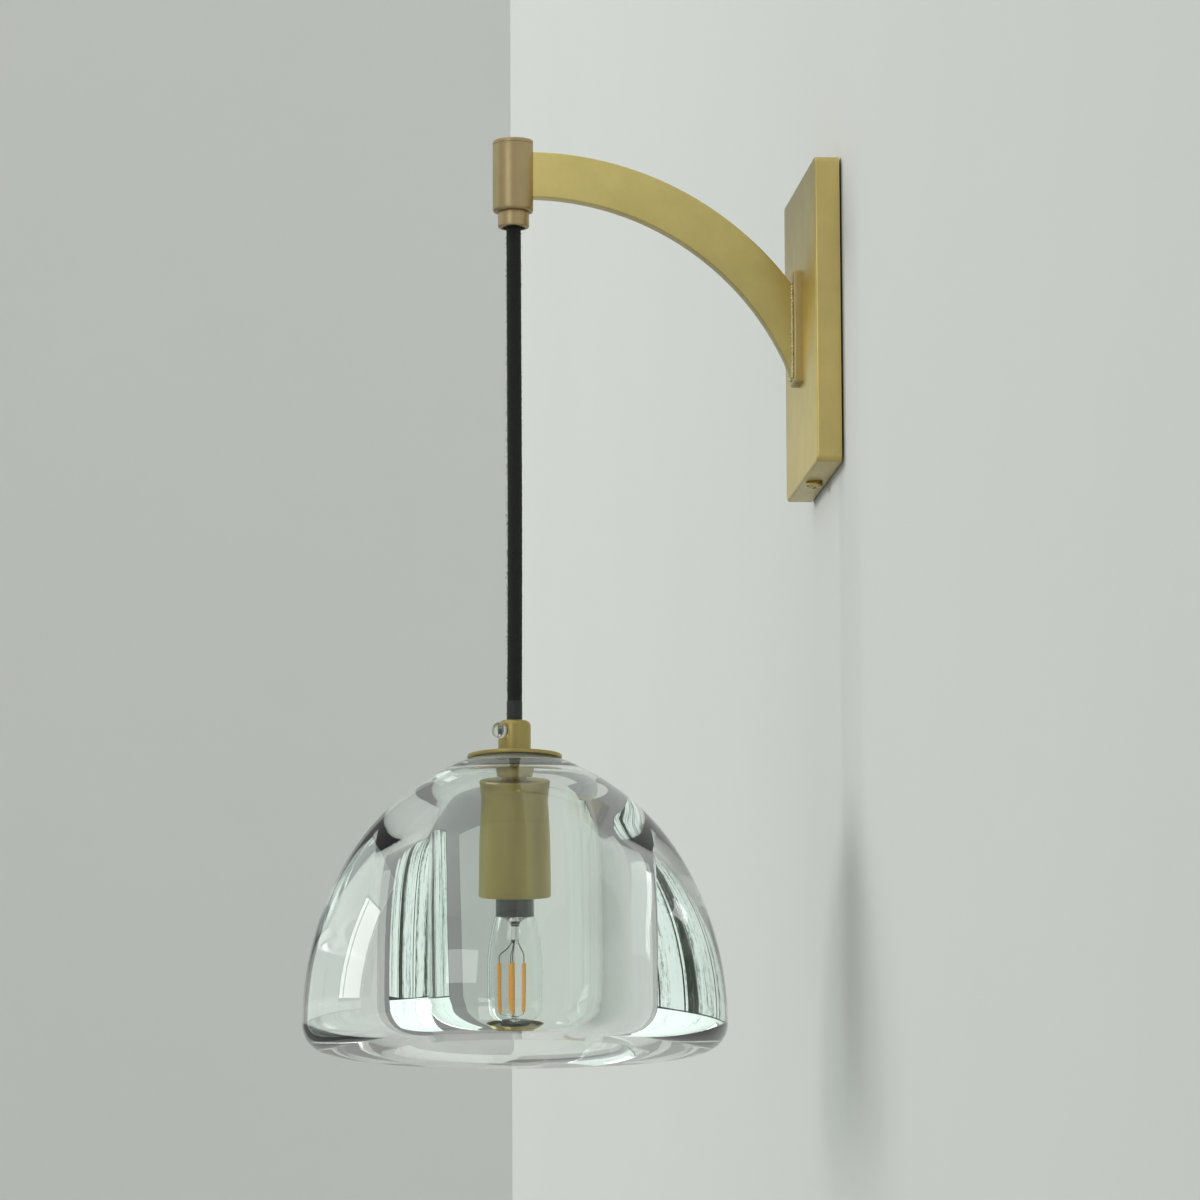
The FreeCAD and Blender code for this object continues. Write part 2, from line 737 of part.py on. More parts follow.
def swing_bush():
    """Ball in the ferrule's seat, flared underneath so that the cord can lean."""
    piece = new_body("swing_bush", "0", "-reach", PIVOT)
    pocket = "(cord_diameter / 2 + cord_clearance)"
    bore = "(bush_bore / 2)"
    flare = f"(({pocket} + bush_base * sin(swing_flare)) / cos(swing_flare))"
    revolve(piece, [
        (flare, "-bush_base"),
        (f"sqrt({BUSH_RADIUS} * {BUSH_RADIUS} - bush_base * bush_base)", "-bush_base", BUSH_RADIUS, 1),
        (bore, f"sqrt({BUSH_RADIUS} * {BUSH_RADIUS} - {bore} * {bore})"),
        (bore, f"sqrt({pocket} * {pocket} - {bore} * {bore})", pocket, -1),
        (f"{pocket} * cos(swing_flare)", f"{pocket} * sin(swing_flare)"),
    ])


def cord_anchor():
    """Nylon clamp in the hub that carries the cord's pull on the ferrule's spigot."""
    piece = new_body("cord_anchor", "0", "-reach", SPIGOT_TOP)
    revolve(piece, ring("cord_diameter / 2", "ferrule_spigot / 2", "0", "anchor_height", "ferrule_edge"))


def cord_tail():
    """The cord's fixed end, from the ferrule's throat up through the anchor."""
    piece = new_body("cord_tail", "0", "-reach", f"{PIVOT} + seat_radius + seat_clearance")
    top = f"({SPIGOT_TOP} + anchor_height + tail_rise)"
    drawing = new_sketch(piece, "XY_Plane")
    circle(drawing, "0", "0", "cord_diameter / 2")
    pad(piece, drawing, f"{top} - {PIVOT} - seat_radius - seat_clearance")


# ---------------------------------------------------------------- wires in the arm


def smooth_path(points, radius):
    """Straight runs through points, joined by tangent arcs of one radius."""
    edges = []
    start = points[0]
    for before, corner, after in zip(points, points[1:], points[2:]):
        way_in, way_out = (corner - before).normalize(), (after - corner).normalize()
        turn = way_in.getAngle(way_out)
        setback = radius * math.tan(turn / 2)
        first, last = corner - way_in * setback, corner + way_out * setback
        inward = (way_out - way_in).normalize()
        middle = corner + inward * (radius / math.cos(turn / 2) - radius)
        edges += [Part.LineSegment(start, first).toShape(), Part.Arc(first, middle, last).toShape()]
        start = last
    edges.append(Part.LineSegment(start, points[-1]).toShape())
    return edges


def arm_wire(name, way):
    """One core, from the cord tail through the arm to its terminal; way is -1, 0 or 1."""
    x = way * value("wire_pitch")
    radius = value("wire_diameter") / 2
    bend = value("wire_bend")
    centre_y, centre_z = value(f"{HUB_FLAT} - reach"), value(ARM_CENTRE)
    run = value(f"{ARM_MIDDLE} - {ARM_CENTRE} + wire_rise")
    top = centre_z + run
    hub_y = -value("reach")
    low = value(f"{SPIGOT_TOP} + anchor_height + tail_rise")
    end_y = -value("wire_depth")
    block_top = -value("terminal_level")
    # the long arc ends inside the cover, where its tangent meets the terminal's own line
    arc_end_y = -value("wall_gap + plate_depth - plate_wall") + radius
    lean = math.asin((arc_end_y - centre_y) / run)
    arc_end = V(x, arc_end_y, centre_z + run * math.cos(lean))
    middle = V(x, centre_y + run * math.sin(lean / 2), centre_z + run * math.cos(lean / 2))
    rise = smooth_path([V(x, hub_y, low), V(x, hub_y, top), V(x, centre_y, top)], bend)
    drop = (end_y - arc_end_y) / math.tan(lean) * -1
    corner = V(x, end_y, arc_end.z + (end_y - arc_end_y) * -math.tan(lean))
    fan_z = corner.z - (corner.z - block_top) * 0.35
    fan_end = V(way * value("terminal_pitch"), end_y, corner.z - (corner.z - block_top) * 0.7)
    finish = V(fan_end.x, end_y, block_top - value("wire_entry"))
    route = [arc_end, corner, V(x, end_y, fan_z), fan_end, finish]
    if way == 0:
        route = [arc_end, corner, finish]
    fall = smooth_path(route, value("wire_diameter") * 2)
    arc = Part.Arc(V(x, centre_y, top), middle, arc_end).toShape()
    path = Part.Wire(rise + [arc] + fall)
    section = Part.Wire(Part.Circle(V(x, hub_y, low), V(0, 0, 1), radius).toShape())
    solid = path.makePipeShell([section], True, False)
    piece = doc.addObject("Part::Feature", name)
    piece.Shape = solid
    piece.Label = name
    piece.Placement = FreeCAD.Placement()
    PARTS.append(piece)


# ---------------------------------------------------------------- cord and grip


def pendant_cord():
    """The textile cord: round at the swing bush, then one straight run into the grip."""
    piece = new_body("pendant_cord", "0", "-reach", PIVOT)
    radius = "(cord_diameter / 2)"
    revolve(piece, [
        ("0", f"{CORD_END} - {PIVOT}"),
        (radius, f"{CORD_END} - {PIVOT}"),
        (radius, "0", radius, 1),
        ("0", radius),
    ])


def cord_sleeve():
    """Heat shrink sleeve over the cord's lower end, half inside the grip."""
    piece = new_body("cord_sleeve", "0", "-reach", CORD_END)
    inner = "(cord_diameter / 2)"
    revolve(piece, ring(inner, f"{inner} + sleeve_wall", "0", "cord_entry + sleeve_length"))


def cord_grip():
    """Barrel that clamps the cord above and screws onto the nipple below."""
    piece = new_body("cord_grip", "0", "-reach", GRIP_BASE)
    piece.Placement.Rotation = FreeCAD.Rotation(V(0, 0, 1), 0)
    piece.setExpression("Placement.Rotation.Angle", bound("clamp_angle"))
    outer = "(grip_diameter / 2)"
    bore = "(cord_diameter / 2 + sleeve_wall + screw_clearance)"
    floor = "(grip_height - cord_entry)"
    revolve(piece, [
        (THREAD_RADIUS, "0"),
        (outer, "0"),
        (outer, "grip_height - grip_round", "grip_round", 1),
        (f"{outer} - grip_round", "grip_height"),
        (bore, "grip_height"),
        (bore, floor),
        ("lead_hole / 2", floor),
        ("lead_hole / 2", f"{floor} - grip_web"),
        (THREAD_RADIUS, f"{floor} - grip_web"),
    ])
    tapped = new_sketch(piece, "YZ_Plane")
    circle(tapped, "0", "clamp_level", "clamp_screw_size / 2 + clamp_screw_fit")
    cut(piece, tapped, "grip_diameter", back=True)


def clamp_screw():
    """Clear nylon thumb screw with a slotted head. Its tip presses on the sleeve."""
    piece = new_body("clamp_screw", "0", "-reach", f"{GRIP_BASE} + clamp_level")
    piece.Placement.Rotation = FreeCAD.Rotation(V(0, 0, 1), 0)
    piece.setExpression("Placement.Rotation.Angle", bound("clamp_angle"))
    tip = "(cord_diameter / 2 + sleeve_wall + clamp_screw_fit)"
    seat = "(grip_diameter / 2 + clamp_head_gap)"
    end = f"({seat} + clamp_head_height)"
    shank, head = "(clamp_screw_size / 2)", "(clamp_head / 2)"
    soft = "(clamp_head_height / 5)"
    revolve(piece, [
        (tip, "0"),
        (end, "0"),
        (end, f"{head} - {soft}", soft, 1),
        (f"{end} - {soft}", head),
        (f"{seat} + {soft}", head, soft, 1),
        (seat, f"{head} - {soft}"),
        (seat, shank),
        (f"{tip} + {soft}", shank, soft, 1),
        (tip, f"{shank} - {soft}"),
    ], "XZ_Plane", "H_Axis")
    slot = new_sketch(piece, "YZ_Plane", end)
    outline(slot, rectangle("0", "0", "clamp_slot", "2 * clamp_head"))
    cut(piece, slot, "clamp_head_height * 0.4")


# ---------------------------------------------------------------- discs and glass


def disc(name, top):
    piece = new_body(name, "0", "-reach", top)
    revolve(piece, ring(NIPPLE_HOLE, "disc_diameter / 2", "-disc_thickness", "0", "disc_edge"))


def gasket(name, top, outer):
    piece = new_body(name, "0", "-reach", top)
    revolve(piece, ring(NIPPLE_HOLE, outer, "-gasket_thickness", "0"))


def glass_flanks():
    """Joint and radii of the two arcs that make the glass's outside.

    The outside leaves the flat top at its slope and ends upright above the rounded rim. The
    two arcs between take equal tangent lengths, which settles their joint in closed form.
    """
    across = "(glass_radius - glass_top_radius)"
    down = "(glass_height - glass_edge)"
    level, steep = "cos(glass_top_slope)", "sin(glass_top_slope)"
    along = f"({across} * {level} + {down} * ({steep} + 1))"
    chord = f"({across} * {across} + {down} * {down})"
    tangent = f"((sqrt({along} * {along} + 2 * (1 - {steep}) * {chord}) - {along}) / (2 * (1 - {steep})))"
    x = f"(({across} + {tangent} * {level}) / 2)"
    y = f"(({down} - {tangent} + {tangent} * {steep}) / 2)"
    shoulder = f"(({x} * {x} + {y} * {y}) / (2 * ({level} * {y} - {steep} * {x})))"
    rest = f"({across} - {x})"
    flank = f"(({rest} * {rest} + ({down} - {y}) * ({down} - {y})) / (2 * {rest}))"
    return f"(glass_top_radius + {x})", f"(-{y})", shoulder, flank


def glass_shade():
    """Thick clear bell, blown round outside, with an upright cavity that flares at its mouth."""
    piece = new_body("glass_shade", "0", "-reach", GLASS_TOP)
    hole = "(glass_hole / 2)"
    cavity_round = f"(cavity_radius - {CEILING_FLAT})"
    joint_x, joint_y, shoulder, flank = glass_flanks()
    revolve(piece, [
        (hole, "0"),
        (hole, "-glass_slab"),
        (CEILING_FLAT, "-glass_slab", cavity_round, -1),
        ("cavity_radius", f"-glass_slab - {cavity_round}"),
        ("cavity_radius", "mouth_flare - glass_height", "mouth_flare", 1),
        ("cavity_radius + mouth_flare", "-glass_height"),
        ("glass_radius - glass_edge", "-glass_height", "glass_edge", 1),
        ("glass_radius", "glass_edge - glass_height", flank, 1),
        (joint_x, joint_y, shoulder, 1),
        ("glass_top_radius", "0"),
    ])


def lock_nut():
    """Hexagon nut that clamps discs, gaskets and glass together."""
    piece = new_body("lock_nut", "0", "-reach", NUT_TOP)
    drawing = new_sketch(piece, "XY_Plane")
    side = "(nut_width / sqrt(3))"
    outline(drawing, [(f"{side} * cos({60 * n})", f"{side} * sin({60 * n})") for n in range(6)])
    circle(drawing, "0", "0", THREAD_RADIUS)
    pad(piece, drawing, "nut_height", back=True)


def cup_collar():
    """Stepped spacer between the lock nut and the lamp cup."""
    piece = new_body("cup_collar", "0", "-reach", COLLAR_TOP)
    soft = "(disc_edge / 2)"
    outer, neck = "(collar_diameter / 2)", "(collar_neck / 2)"
    low = "(-collar_height - collar_neck_height)"
    revolve(piece, [
        (THREAD_RADIUS, low),
        (neck, low),
        (neck, "-collar_height"),
        (f"{outer} - {soft}", "-collar_height", soft, 1),
        (outer, f"{soft} - collar_height"),
        (outer, f"-{soft}", soft, 1),
        (f"{outer} - {soft}", "0"),
        (THREAD_RADIUS, "0"),
    ])


def threaded_nipple():
    """Hollow nipple through grip, discs, glass, nut, collar, cup and lampholder cap."""
    top = f"({CORD_END} - grip_web)"
    piece = new_body("threaded_nipple", "0", "-reach", top)
    bottom = f"({HOLDER_TOP} - holder_cap_top - 1)"
    revolve(piece, ring("nipple_bore / 2", "nipple_diameter / 2", f"{bottom} - {top}", "0"))


def lamp_cup():
    """Deep drawn cup with a soft upper edge, open below."""
    piece = new_body("lamp_cup", "0", "-reach", CUP_TOP)
    outer, inner = "(cup_diameter / 2)", "(cup_diameter / 2 - cup_wall)"
    inner_round = "(cup_round - cup_wall)"
    revolve(piece, [
        (NIPPLE_HOLE, "-cup_top"),
        (f"{inner} - {inner_round}", "-cup_top", inner_round, -1),
        (inner, f"-cup_top - {inner_round}"),
        (inner, "-cup_height"),
        (outer, "-cup_height"),
        (outer, "-cup_round", "cup_round", 1),
        (f"{outer} - cup_round", "0"),
        (NIPPLE_HOLE, "0"),
    ])
    tapped = new_sketch(piece, "YZ_Plane")
    circle(tapped, "0", "-set_screw_level", "set_screw_size / 2 + thread_clearance")
    cut(piece, tapped, "cup_diameter", back=True)


def cup_set_screw():
    """Grub screw through the cup's side onto the lampholder cap."""
    piece = new_body("cup_set_screw", "0", "-reach", f"{CUP_TOP} - set_screw_level")
    drawing = new_sketch(piece, "YZ_Plane", "holder_diameter / 2")
    circle(drawing, "0", "0", "set_screw_size / 2")
    pad(piece, drawing, "cup_diameter / 2 - holder_diameter / 2 - screw_clearance")


# ---------------------------------------------------------------- lampholder


def holder_cap():
    """Upper half of the lampholder, screwed onto the nipple."""
    piece = new_body("holder_cap", "0", "-reach", HOLDER_TOP)
    outer, inner = "(holder_diameter / 2)", "(holder_diameter / 2 - holder_cap_wall)"
    revolve(piece, [
        (THREAD_RADIUS, "-holder_cap_top"),
        (inner, "-holder_cap_top"),
        (inner, "-holder_cap_height"),
        (outer, "-holder_cap_height"),
        (outer, "-cup_round", "cup_round", 1),
        (f"{outer} - cup_round", "0"),
        (THREAD_RADIUS, "0"),
    ])


def holder_body():
    """Lower half: a spigot in the cap, a roof with the leads' holes and the bore of the shell."""
    piece = new_body("holder_body", "0", "-reach", HOLDER_JOINT)
    spigot = "(holder_diameter / 2 - holder_cap_wall - screw_clearance)"
    bore = "(shell_diameter / 2 + shell_clearance)"
    ceiling = "(holder_spigot - holder_roof)"
    revolve(piece, [
        (bore, "-holder_length"),
        ("holder_diameter / 2", "-holder_length"),
        ("holder_diameter / 2", "0"),
        (spigot, "0"),
        (spigot, "holder_spigot"),
        ("0", "holder_spigot"),
        ("0", ceiling),
        (bore, ceiling),
    ])
    holes = new_sketch(piece, "XY_Plane", "holder_spigot")
    for angle in (90, 210, 330):
        x, y = f"lead_circle / 2 * cos({angle})", f"lead_circle / 2 * sin({angle})"
        circle(holes, x, y, "lead_diameter / 2 + thread_clearance")
    cut(piece, holes, "lead_entry")


def screw_shell():
    """Thin brass shell that the bulb's cap screws into."""
    piece = new_body("screw_shell", "0", "-reach", HOLDER_BASE)
    outer = "(shell_diameter / 2)"
    revolve(piece, ring(f"{outer} - shell_wall", outer, "shell_setback", f"{HOLDER_CEILING} - {HOLDER_BASE}"))


def centre_contact():
    """Spring strip under the lampholder's roof, bent down onto the bulb's tip."""
    piece = new_body("centre_contact", "0", "-reach", HOLDER_CEILING)
    half = "(contact_width / 2)"
    low = f"({BULB_TIP} + thread_clearance - {HOLDER_CEILING})"
    drawing = new_sketch(piece, "XZ_Plane")
    outline(drawing, [
        (f"-{half} - contact_thickness", "0"),
        (f"-{half} - contact_thickness", "-contact_thickness"),
        (f"-{half}", "-contact_thickness"),
        (f"-{half}", low),
        (half, low),
        (half, f"{low} + contact_thickness"),
        (f"contact_thickness - {half}", f"{low} + contact_thickness"),
        (f"contact_thickness - {half}", "-contact_thickness"),
        (half, "-contact_thickness"),
        (half, "0"),
    ])
    pad(piece, drawing, "contact_width * 0.6", both=True)


def pendant_lead(name, angle):
    """One core from the cord's end, through the nipple, to the lampholder."""
    piece = new_body(name, "0", "-reach", CORD_END)
    drawing = new_sketch(piece, "XY_Plane")
    circle(drawing, f"lead_circle / 2 * cos({angle})", f"lead_circle / 2 * sin({angle})", "lead_diameter / 2")
    pad(piece, drawing, f"{CORD_END} - {HOLDER_JOINT} - holder_spigot + lead_entry", back=True)


# ---------------------------------------------------------------- bulb


def bulb_envelope():
    """Clear tubular envelope: a neck, a long soft shoulder and a round end."""
    piece = new_body("bulb_envelope", "0", "-reach", BULB_BASE)
    outer, neck = "(bulb_diameter / 2)", "(bulb_neck_diameter / 2)"
    inner, neck_inner = f"({outer} - bulb_glass)", f"({neck} - bulb_glass)"
    swell = f"({outer} - {neck})"
    shoulder = f"((bulb_shoulder * bulb_shoulder + {swell} * {swell}) / (2 * {swell}))"
    end = f"({outer} - bulb_length)"
    revolve(piece, [
        (neck, "0"),
        (neck_inner, "0", f"({shoulder} - bulb_glass)", 1),
        (inner, "-bulb_shoulder"),
        (inner, end, inner, -1),
        ("0", "bulb_glass - bulb_length"),
        ("0", "-bulb_length", outer, 1),
        (outer, end),
        (outer, "-bulb_shoulder", shoulder, 1),
    ])


def bulb_collar():
    """Plain metal skirt between the screw cap and the glass."""
    piece = new_body("bulb_collar", "0", "-reach", BULB_BASE)
    outer = "(bulb_collar_diameter / 2)"
    revolve(piece, [
        ("bulb_neck_diameter / 2 - 2 * bulb_glass", "0"),
        (outer, "0"),
        (outer, "bulb_collar_height - disc_edge", "disc_edge", 1),
        (f"{outer} - disc_edge", "bulb_collar_height"),
        (f"{BULB_CAP_RADIUS} - bulb_cap_wall", "bulb_collar_height"),
        (f"{BULB_CAP_RADIUS} - bulb_cap_wall", "bulb_collar_height - 2 * bulb_glass"),
        ("bulb_neck_diameter / 2 - 2 * bulb_glass", "bulb_collar_height - 2 * bulb_glass"),
    ])


def bulb_cap():
    piece = new_body("bulb_cap", "0", "-reach", BULB_TOP)
    outer = BULB_CAP_RADIUS
    revolve(piece, ring(f"{outer} - bulb_cap_wall", outer, "0", "bulb_cap_height"))


def bulb_insulator():
    """Glass bead that closes the screw cap around its tip."""
    piece = new_body("bulb_insulator", "0", "-reach", f"{BULB_TOP} + bulb_cap_height")
    revolve(piece, [
        ("0", "0"),
        (BULB_CAP_RADIUS, "0"),
        ("bulb_tip_diameter / 2 + bulb_cap_wall", "bulb_insulator_height"),
        ("0", "bulb_insulator_height"),
    ])


def bulb_contact():
    piece = new_body("bulb_contact", "0", "-reach", f"{BULB_TOP} + bulb_cap_height + bulb_insulator_height")
    radius = "(bulb_tip_diameter / 2)"
    dome = f"((bulb_tip_height * bulb_tip_height + {radius} * {radius}) / (2 * bulb_tip_height))"
    revolve(piece, [("0", "0"), (radius, "0", dome, 1), ("0", "bulb_tip_height")])


def bulb_stem():
    """Glass stem that carries the filaments: a flare in the neck, then a thin rod."""
    piece = new_body("bulb_stem", "0", "-reach", BULB_BASE)
    wide = "(bulb_neck_diameter / 2 - bulb_glass - 2 * screw_clearance)"
    thin = "(stem_diameter / 2)"
    flare = f"({wide} - {thin})"
    revolve(piece, [
        ("0", "-stem_length"),
        (thin, "-stem_length"),
        (thin, f"-{flare} / 2"),
        (f"{wide} - bulb_glass", "-screw_clearance"),
        (wide, "-screw_clearance"),
        (wide, "0"),
        ("0", "0"),
    ])


def filament_places():
    """Middle of each filament's head, in the bulb's own frame."""
    middle = V(0, -value("filament_offset"), -value("filament_start"))
    away = value("filament_circle") / 2
    turns = [math.radians(90 * quarter) for quarter in range(4)]
    return [middle + V(math.cos(turn), math.sin(turn), 0) * away for turn in turns]


def filaments():
    """Four upright sticks on a circle, set a little to one side of the bulb's axis."""
    piece = new_body("led_filaments", "0", "-reach - filament_offset", f"{BULB_BASE} - filament_start")
    drawing = new_sketch(piece, "XY_Plane")
    circle(drawing, "filament_circle / 2", "0", "filament_diameter / 2")
    stick = pad(piece, drawing, "filament_length", back=True)
    doc.recompute()
    repeat(piece, "PolarPattern", [stick], Axis=(origin_feature(piece, "Z_Axis"), [""]), Occurrences=4)


def support_wires():
    """Thin wires that spread from the stem's foot to the head of each filament."""
    radius = value("support_wire") / 2
    root = V(0, 0, 2 * radius - value("stem_length"))
    stem = Part.makeCylinder(value("stem_diameter") / 2, value("stem_length"), V(0, 0, root.z - 2 * radius))
    wires = []
    for head in filament_places():
        along = head - root
        stick = Part.makeCylinder(value("filament_diameter") / 2, 4 * radius, head, V(0, 0, -1))
        wire = Part.makeCylinder(radius, along.Length + radius, root, along)
        wires.append(wire.cut(stem).cut(stick))
    piece = doc.addObject("Part::Feature", "support_wires")
    piece.Shape = Part.makeCompound(wires)
    piece.Label = "support_wires"
    piece.Placement = FreeCAD.Placement(V(0, -value("reach"), value(BULB_BASE)), FreeCAD.Rotation())
    PARTS.append(piece)


# ---------------------------------------------------------------- build and write


def build():
    backplate_cover()
    wall_bracket()
    cover_screws()
    earth_screw()
    terminal_block()
    terminal_screws()
    foot_pad()
    foot_screws()
    arm_tube()
    weld_beads()
    hub_shell()
    hub_cap()
    cord_ferrule()
    ferrule_nut()
    swing_bush()
    cord_anchor()
    cord_tail()
    for way, name in enumerate(("arm_wire_live", "arm_wire_neutral", "arm_wire_earth"), start=-1):
        arm_wire(name, way)
    pendant_cord()
    cord_sleeve()
    cord_grip()
    clamp_screw()
    disc("upper_disc", GRIP_BASE)
    gasket("upper_gasket", f"{GRIP_BASE} - disc_thickness", "gasket_diameter / 2")
    glass_shade()
    gasket("lower_gasket", SLAB_BASE, CEILING_FLAT)
    disc("lower_disc", LOWER_DISC_TOP)
    lock_nut()
    cup_collar()
    threaded_nipple()
    lamp_cup()
    cup_set_screw()
    holder_cap()
    holder_body()
    screw_shell()
    centre_contact()
    for angle, name in ((90, "pendant_lead_live"), (210, "pendant_lead_neutral"), (330, "pendant_lead_earth")):
        pendant_lead(name, angle)
    bulb_envelope()
    bulb_collar()
    bulb_cap()
    bulb_insulator()
    bulb_contact()
    bulb_stem()
    filaments()
    support_wires()


def check():
    """Every object computed, and every piece a valid solid with some volume."""
    for item in doc.Objects:
        if "Invalid" in item.State or "Error" in item.State:
            raise ValueError("%s did not compute" % item.Name)
    for piece in PARTS:
        if piece.Shape.isNull() or not piece.Shape.isValid() or not piece.Shape.Solids:
            raise ValueError("%s is not a valid solid" % piece.Label)


def write():
    os.makedirs("parts", exist_ok=True)
    for piece in PARTS:
        piece.Shape.exportStep("parts/%s.step" % piece.Label)
    print("%d pieces written" % len(PARTS))


def report_cord():
    """The cord has one straight run and no bend; its volume against section times length."""
    radius = value("cord_diameter / 2")
    length = value(f"{PIVOT} - {CORD_END}")
    plain = math.pi * radius ** 2 * length + 2 / 3 * math.pi * radius ** 3
    cord = doc.getObject("pendant_cord").Shape.Volume
    print("cord: one straight run of %.1f mm, no arcs, volume %.4f of section times length"
          % (length, cord / plain))


build()
doc.recompute()
check()
write()
report_cord()
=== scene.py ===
# %% [markdown]
# A wall light: a brass arm carries a textile cord, and on the cord hangs a thick clear
# glass bell with a small tubular bulb inside. This lesson dresses the light's CAD model.
# The CAD pieces say where everything is, so each visible piece takes its sizes from them,
# and only its surface, its edges and its finish are made here.

# %% Load the frame
import bmesh
import bpy
import json
import math
from mathutils import Matrix, Vector

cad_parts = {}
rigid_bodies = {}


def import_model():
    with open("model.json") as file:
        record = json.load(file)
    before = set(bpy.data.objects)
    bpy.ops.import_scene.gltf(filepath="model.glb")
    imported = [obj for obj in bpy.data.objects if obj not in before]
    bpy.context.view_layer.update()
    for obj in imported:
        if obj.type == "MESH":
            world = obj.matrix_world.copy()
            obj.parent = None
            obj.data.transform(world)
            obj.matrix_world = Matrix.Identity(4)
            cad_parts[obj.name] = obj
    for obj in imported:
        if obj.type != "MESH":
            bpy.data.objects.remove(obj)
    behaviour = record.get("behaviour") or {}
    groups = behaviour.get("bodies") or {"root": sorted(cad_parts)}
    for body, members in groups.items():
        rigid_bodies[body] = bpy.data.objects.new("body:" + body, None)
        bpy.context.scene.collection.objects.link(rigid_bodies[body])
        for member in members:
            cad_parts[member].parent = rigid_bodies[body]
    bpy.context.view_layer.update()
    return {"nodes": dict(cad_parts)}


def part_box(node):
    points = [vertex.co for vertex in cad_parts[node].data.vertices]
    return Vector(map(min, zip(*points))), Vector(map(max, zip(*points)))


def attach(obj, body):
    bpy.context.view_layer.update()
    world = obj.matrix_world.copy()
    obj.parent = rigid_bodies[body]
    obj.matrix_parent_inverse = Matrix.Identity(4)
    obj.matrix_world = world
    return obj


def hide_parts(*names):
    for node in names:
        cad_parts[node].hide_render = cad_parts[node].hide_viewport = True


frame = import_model()
MM = 0.001
AXIS_Y = -151.0

# %% [markdown]
# The photograph was taken with a long lens from below and to the side, so the upright edges
# stay upright and near and far parts are almost the same size. A long lens far away gives
# that. The camera comes first, because every later choice is judged through it.

# %% Camera
YAW, PITCH, ROLL = math.radians(5.749), math.radians(9.347), math.radians(-0.235)
CAMERA_PLACE = (3033.869, -415.538, -633.653)


def placed(name, data):
    """A new object of the scene."""
    piece = bpy.data.objects.new(name, data)
    bpy.context.collection.objects.link(piece)
    return piece


camera_data = bpy.data.cameras.new("camera")
camera_data.lens = 195.0
camera_data.sensor_width = 36.0
camera = placed("camera", camera_data)
ahead_level = Vector((-math.cos(YAW), math.sin(YAW), 0))
right = Vector((math.sin(YAW), math.cos(YAW), 0))
up = Vector((0, 0, 1)) * math.cos(PITCH) - ahead_level * math.sin(PITCH)
ahead = ahead_level * math.cos(PITCH) + Vector((0, 0, 1)) * math.sin(PITCH)
camera_right = right * math.cos(ROLL) + up * math.sin(ROLL)
camera_up = up * math.cos(ROLL) - right * math.sin(ROLL)
turn = Matrix((camera_right, camera_up, -ahead)).transposed()
camera.matrix_world = Matrix.Translation(Vector(CAMERA_PLACE) * MM) @ turn.to_4x4()
bpy.context.scene.camera = camera
bpy.context.scene.view_settings.view_transform = "Standard"
print("camera stands", round(camera.location.length, 2), "m from the plate")

# %% [markdown]
# Materials are graphs of nodes. Written out link by link they are hard to read, so one
# small class wraps a socket and lets plain Python arithmetic add the Math nodes. The base
# class Tree adds a node with its settings and sockets; Geometry Nodes will use it too.


# %% Shader maths
class Wire:
    """An output socket that takes part in Python expressions."""

    def __init__(self, owner, socket):
        self.owner, self.socket = owner, socket

    def _math(self, operation, first, second=0.0):
        return self.owner.node("ShaderNodeMath", {"operation": operation}, first, second)

    def __add__(self, other):
        return self._math("ADD", self, other)

    __radd__ = __add__

    def __sub__(self, other):
        return self._math("SUBTRACT", self, other)

    def __rsub__(self, other):
        return self._math("SUBTRACT", other, self)

    def __mul__(self, other):
        return self._math("MULTIPLY", self, other)

    __rmul__ = __mul__

    def __truediv__(self, other):
        return self._math("DIVIDE", self, other)

    def root(self):
        return self._math("SQRT", self)

    def fraction(self):
        return self._math("FRACT", self)

    def above(self, level):
        return self._math("GREATER_THAN", self, level)

    def clamped(self, low, high):
        return self._math("MINIMUM", self._math("MAXIMUM", self, low), high)

    def axis(self, number):
        """X, Y or Z of a vector, as 0, 1 or 2."""
        return self.owner.node("ShaderNodeSeparateXYZ", {}, self, out=number)

    def beside(self, out):
        """Another output of the same node."""
        return Wire(self.owner, self.socket.node.outputs[out])


class Tree:
    """A node tree whose nodes are added by one method."""

    def node(self, kind, settings, *values, out=0, **named):
        """A node of one kind: its settings, then its sockets in order (None skips) or by name."""
        node = self.tree.nodes.new(kind)
        for key, setting in settings.items():
            setattr(node, key, setting)
        sockets = list(enumerate(values))
        sockets += [(key.replace("_", " "), value) for key, value in named.items()]
        for key, value in sockets:
            if isinstance(value, Wire):
                self.tree.links.new(value.socket, node.inputs[key])
            elif value is not None:
                node.inputs[key].default_value = value
        return Wire(self, node.outputs[out])


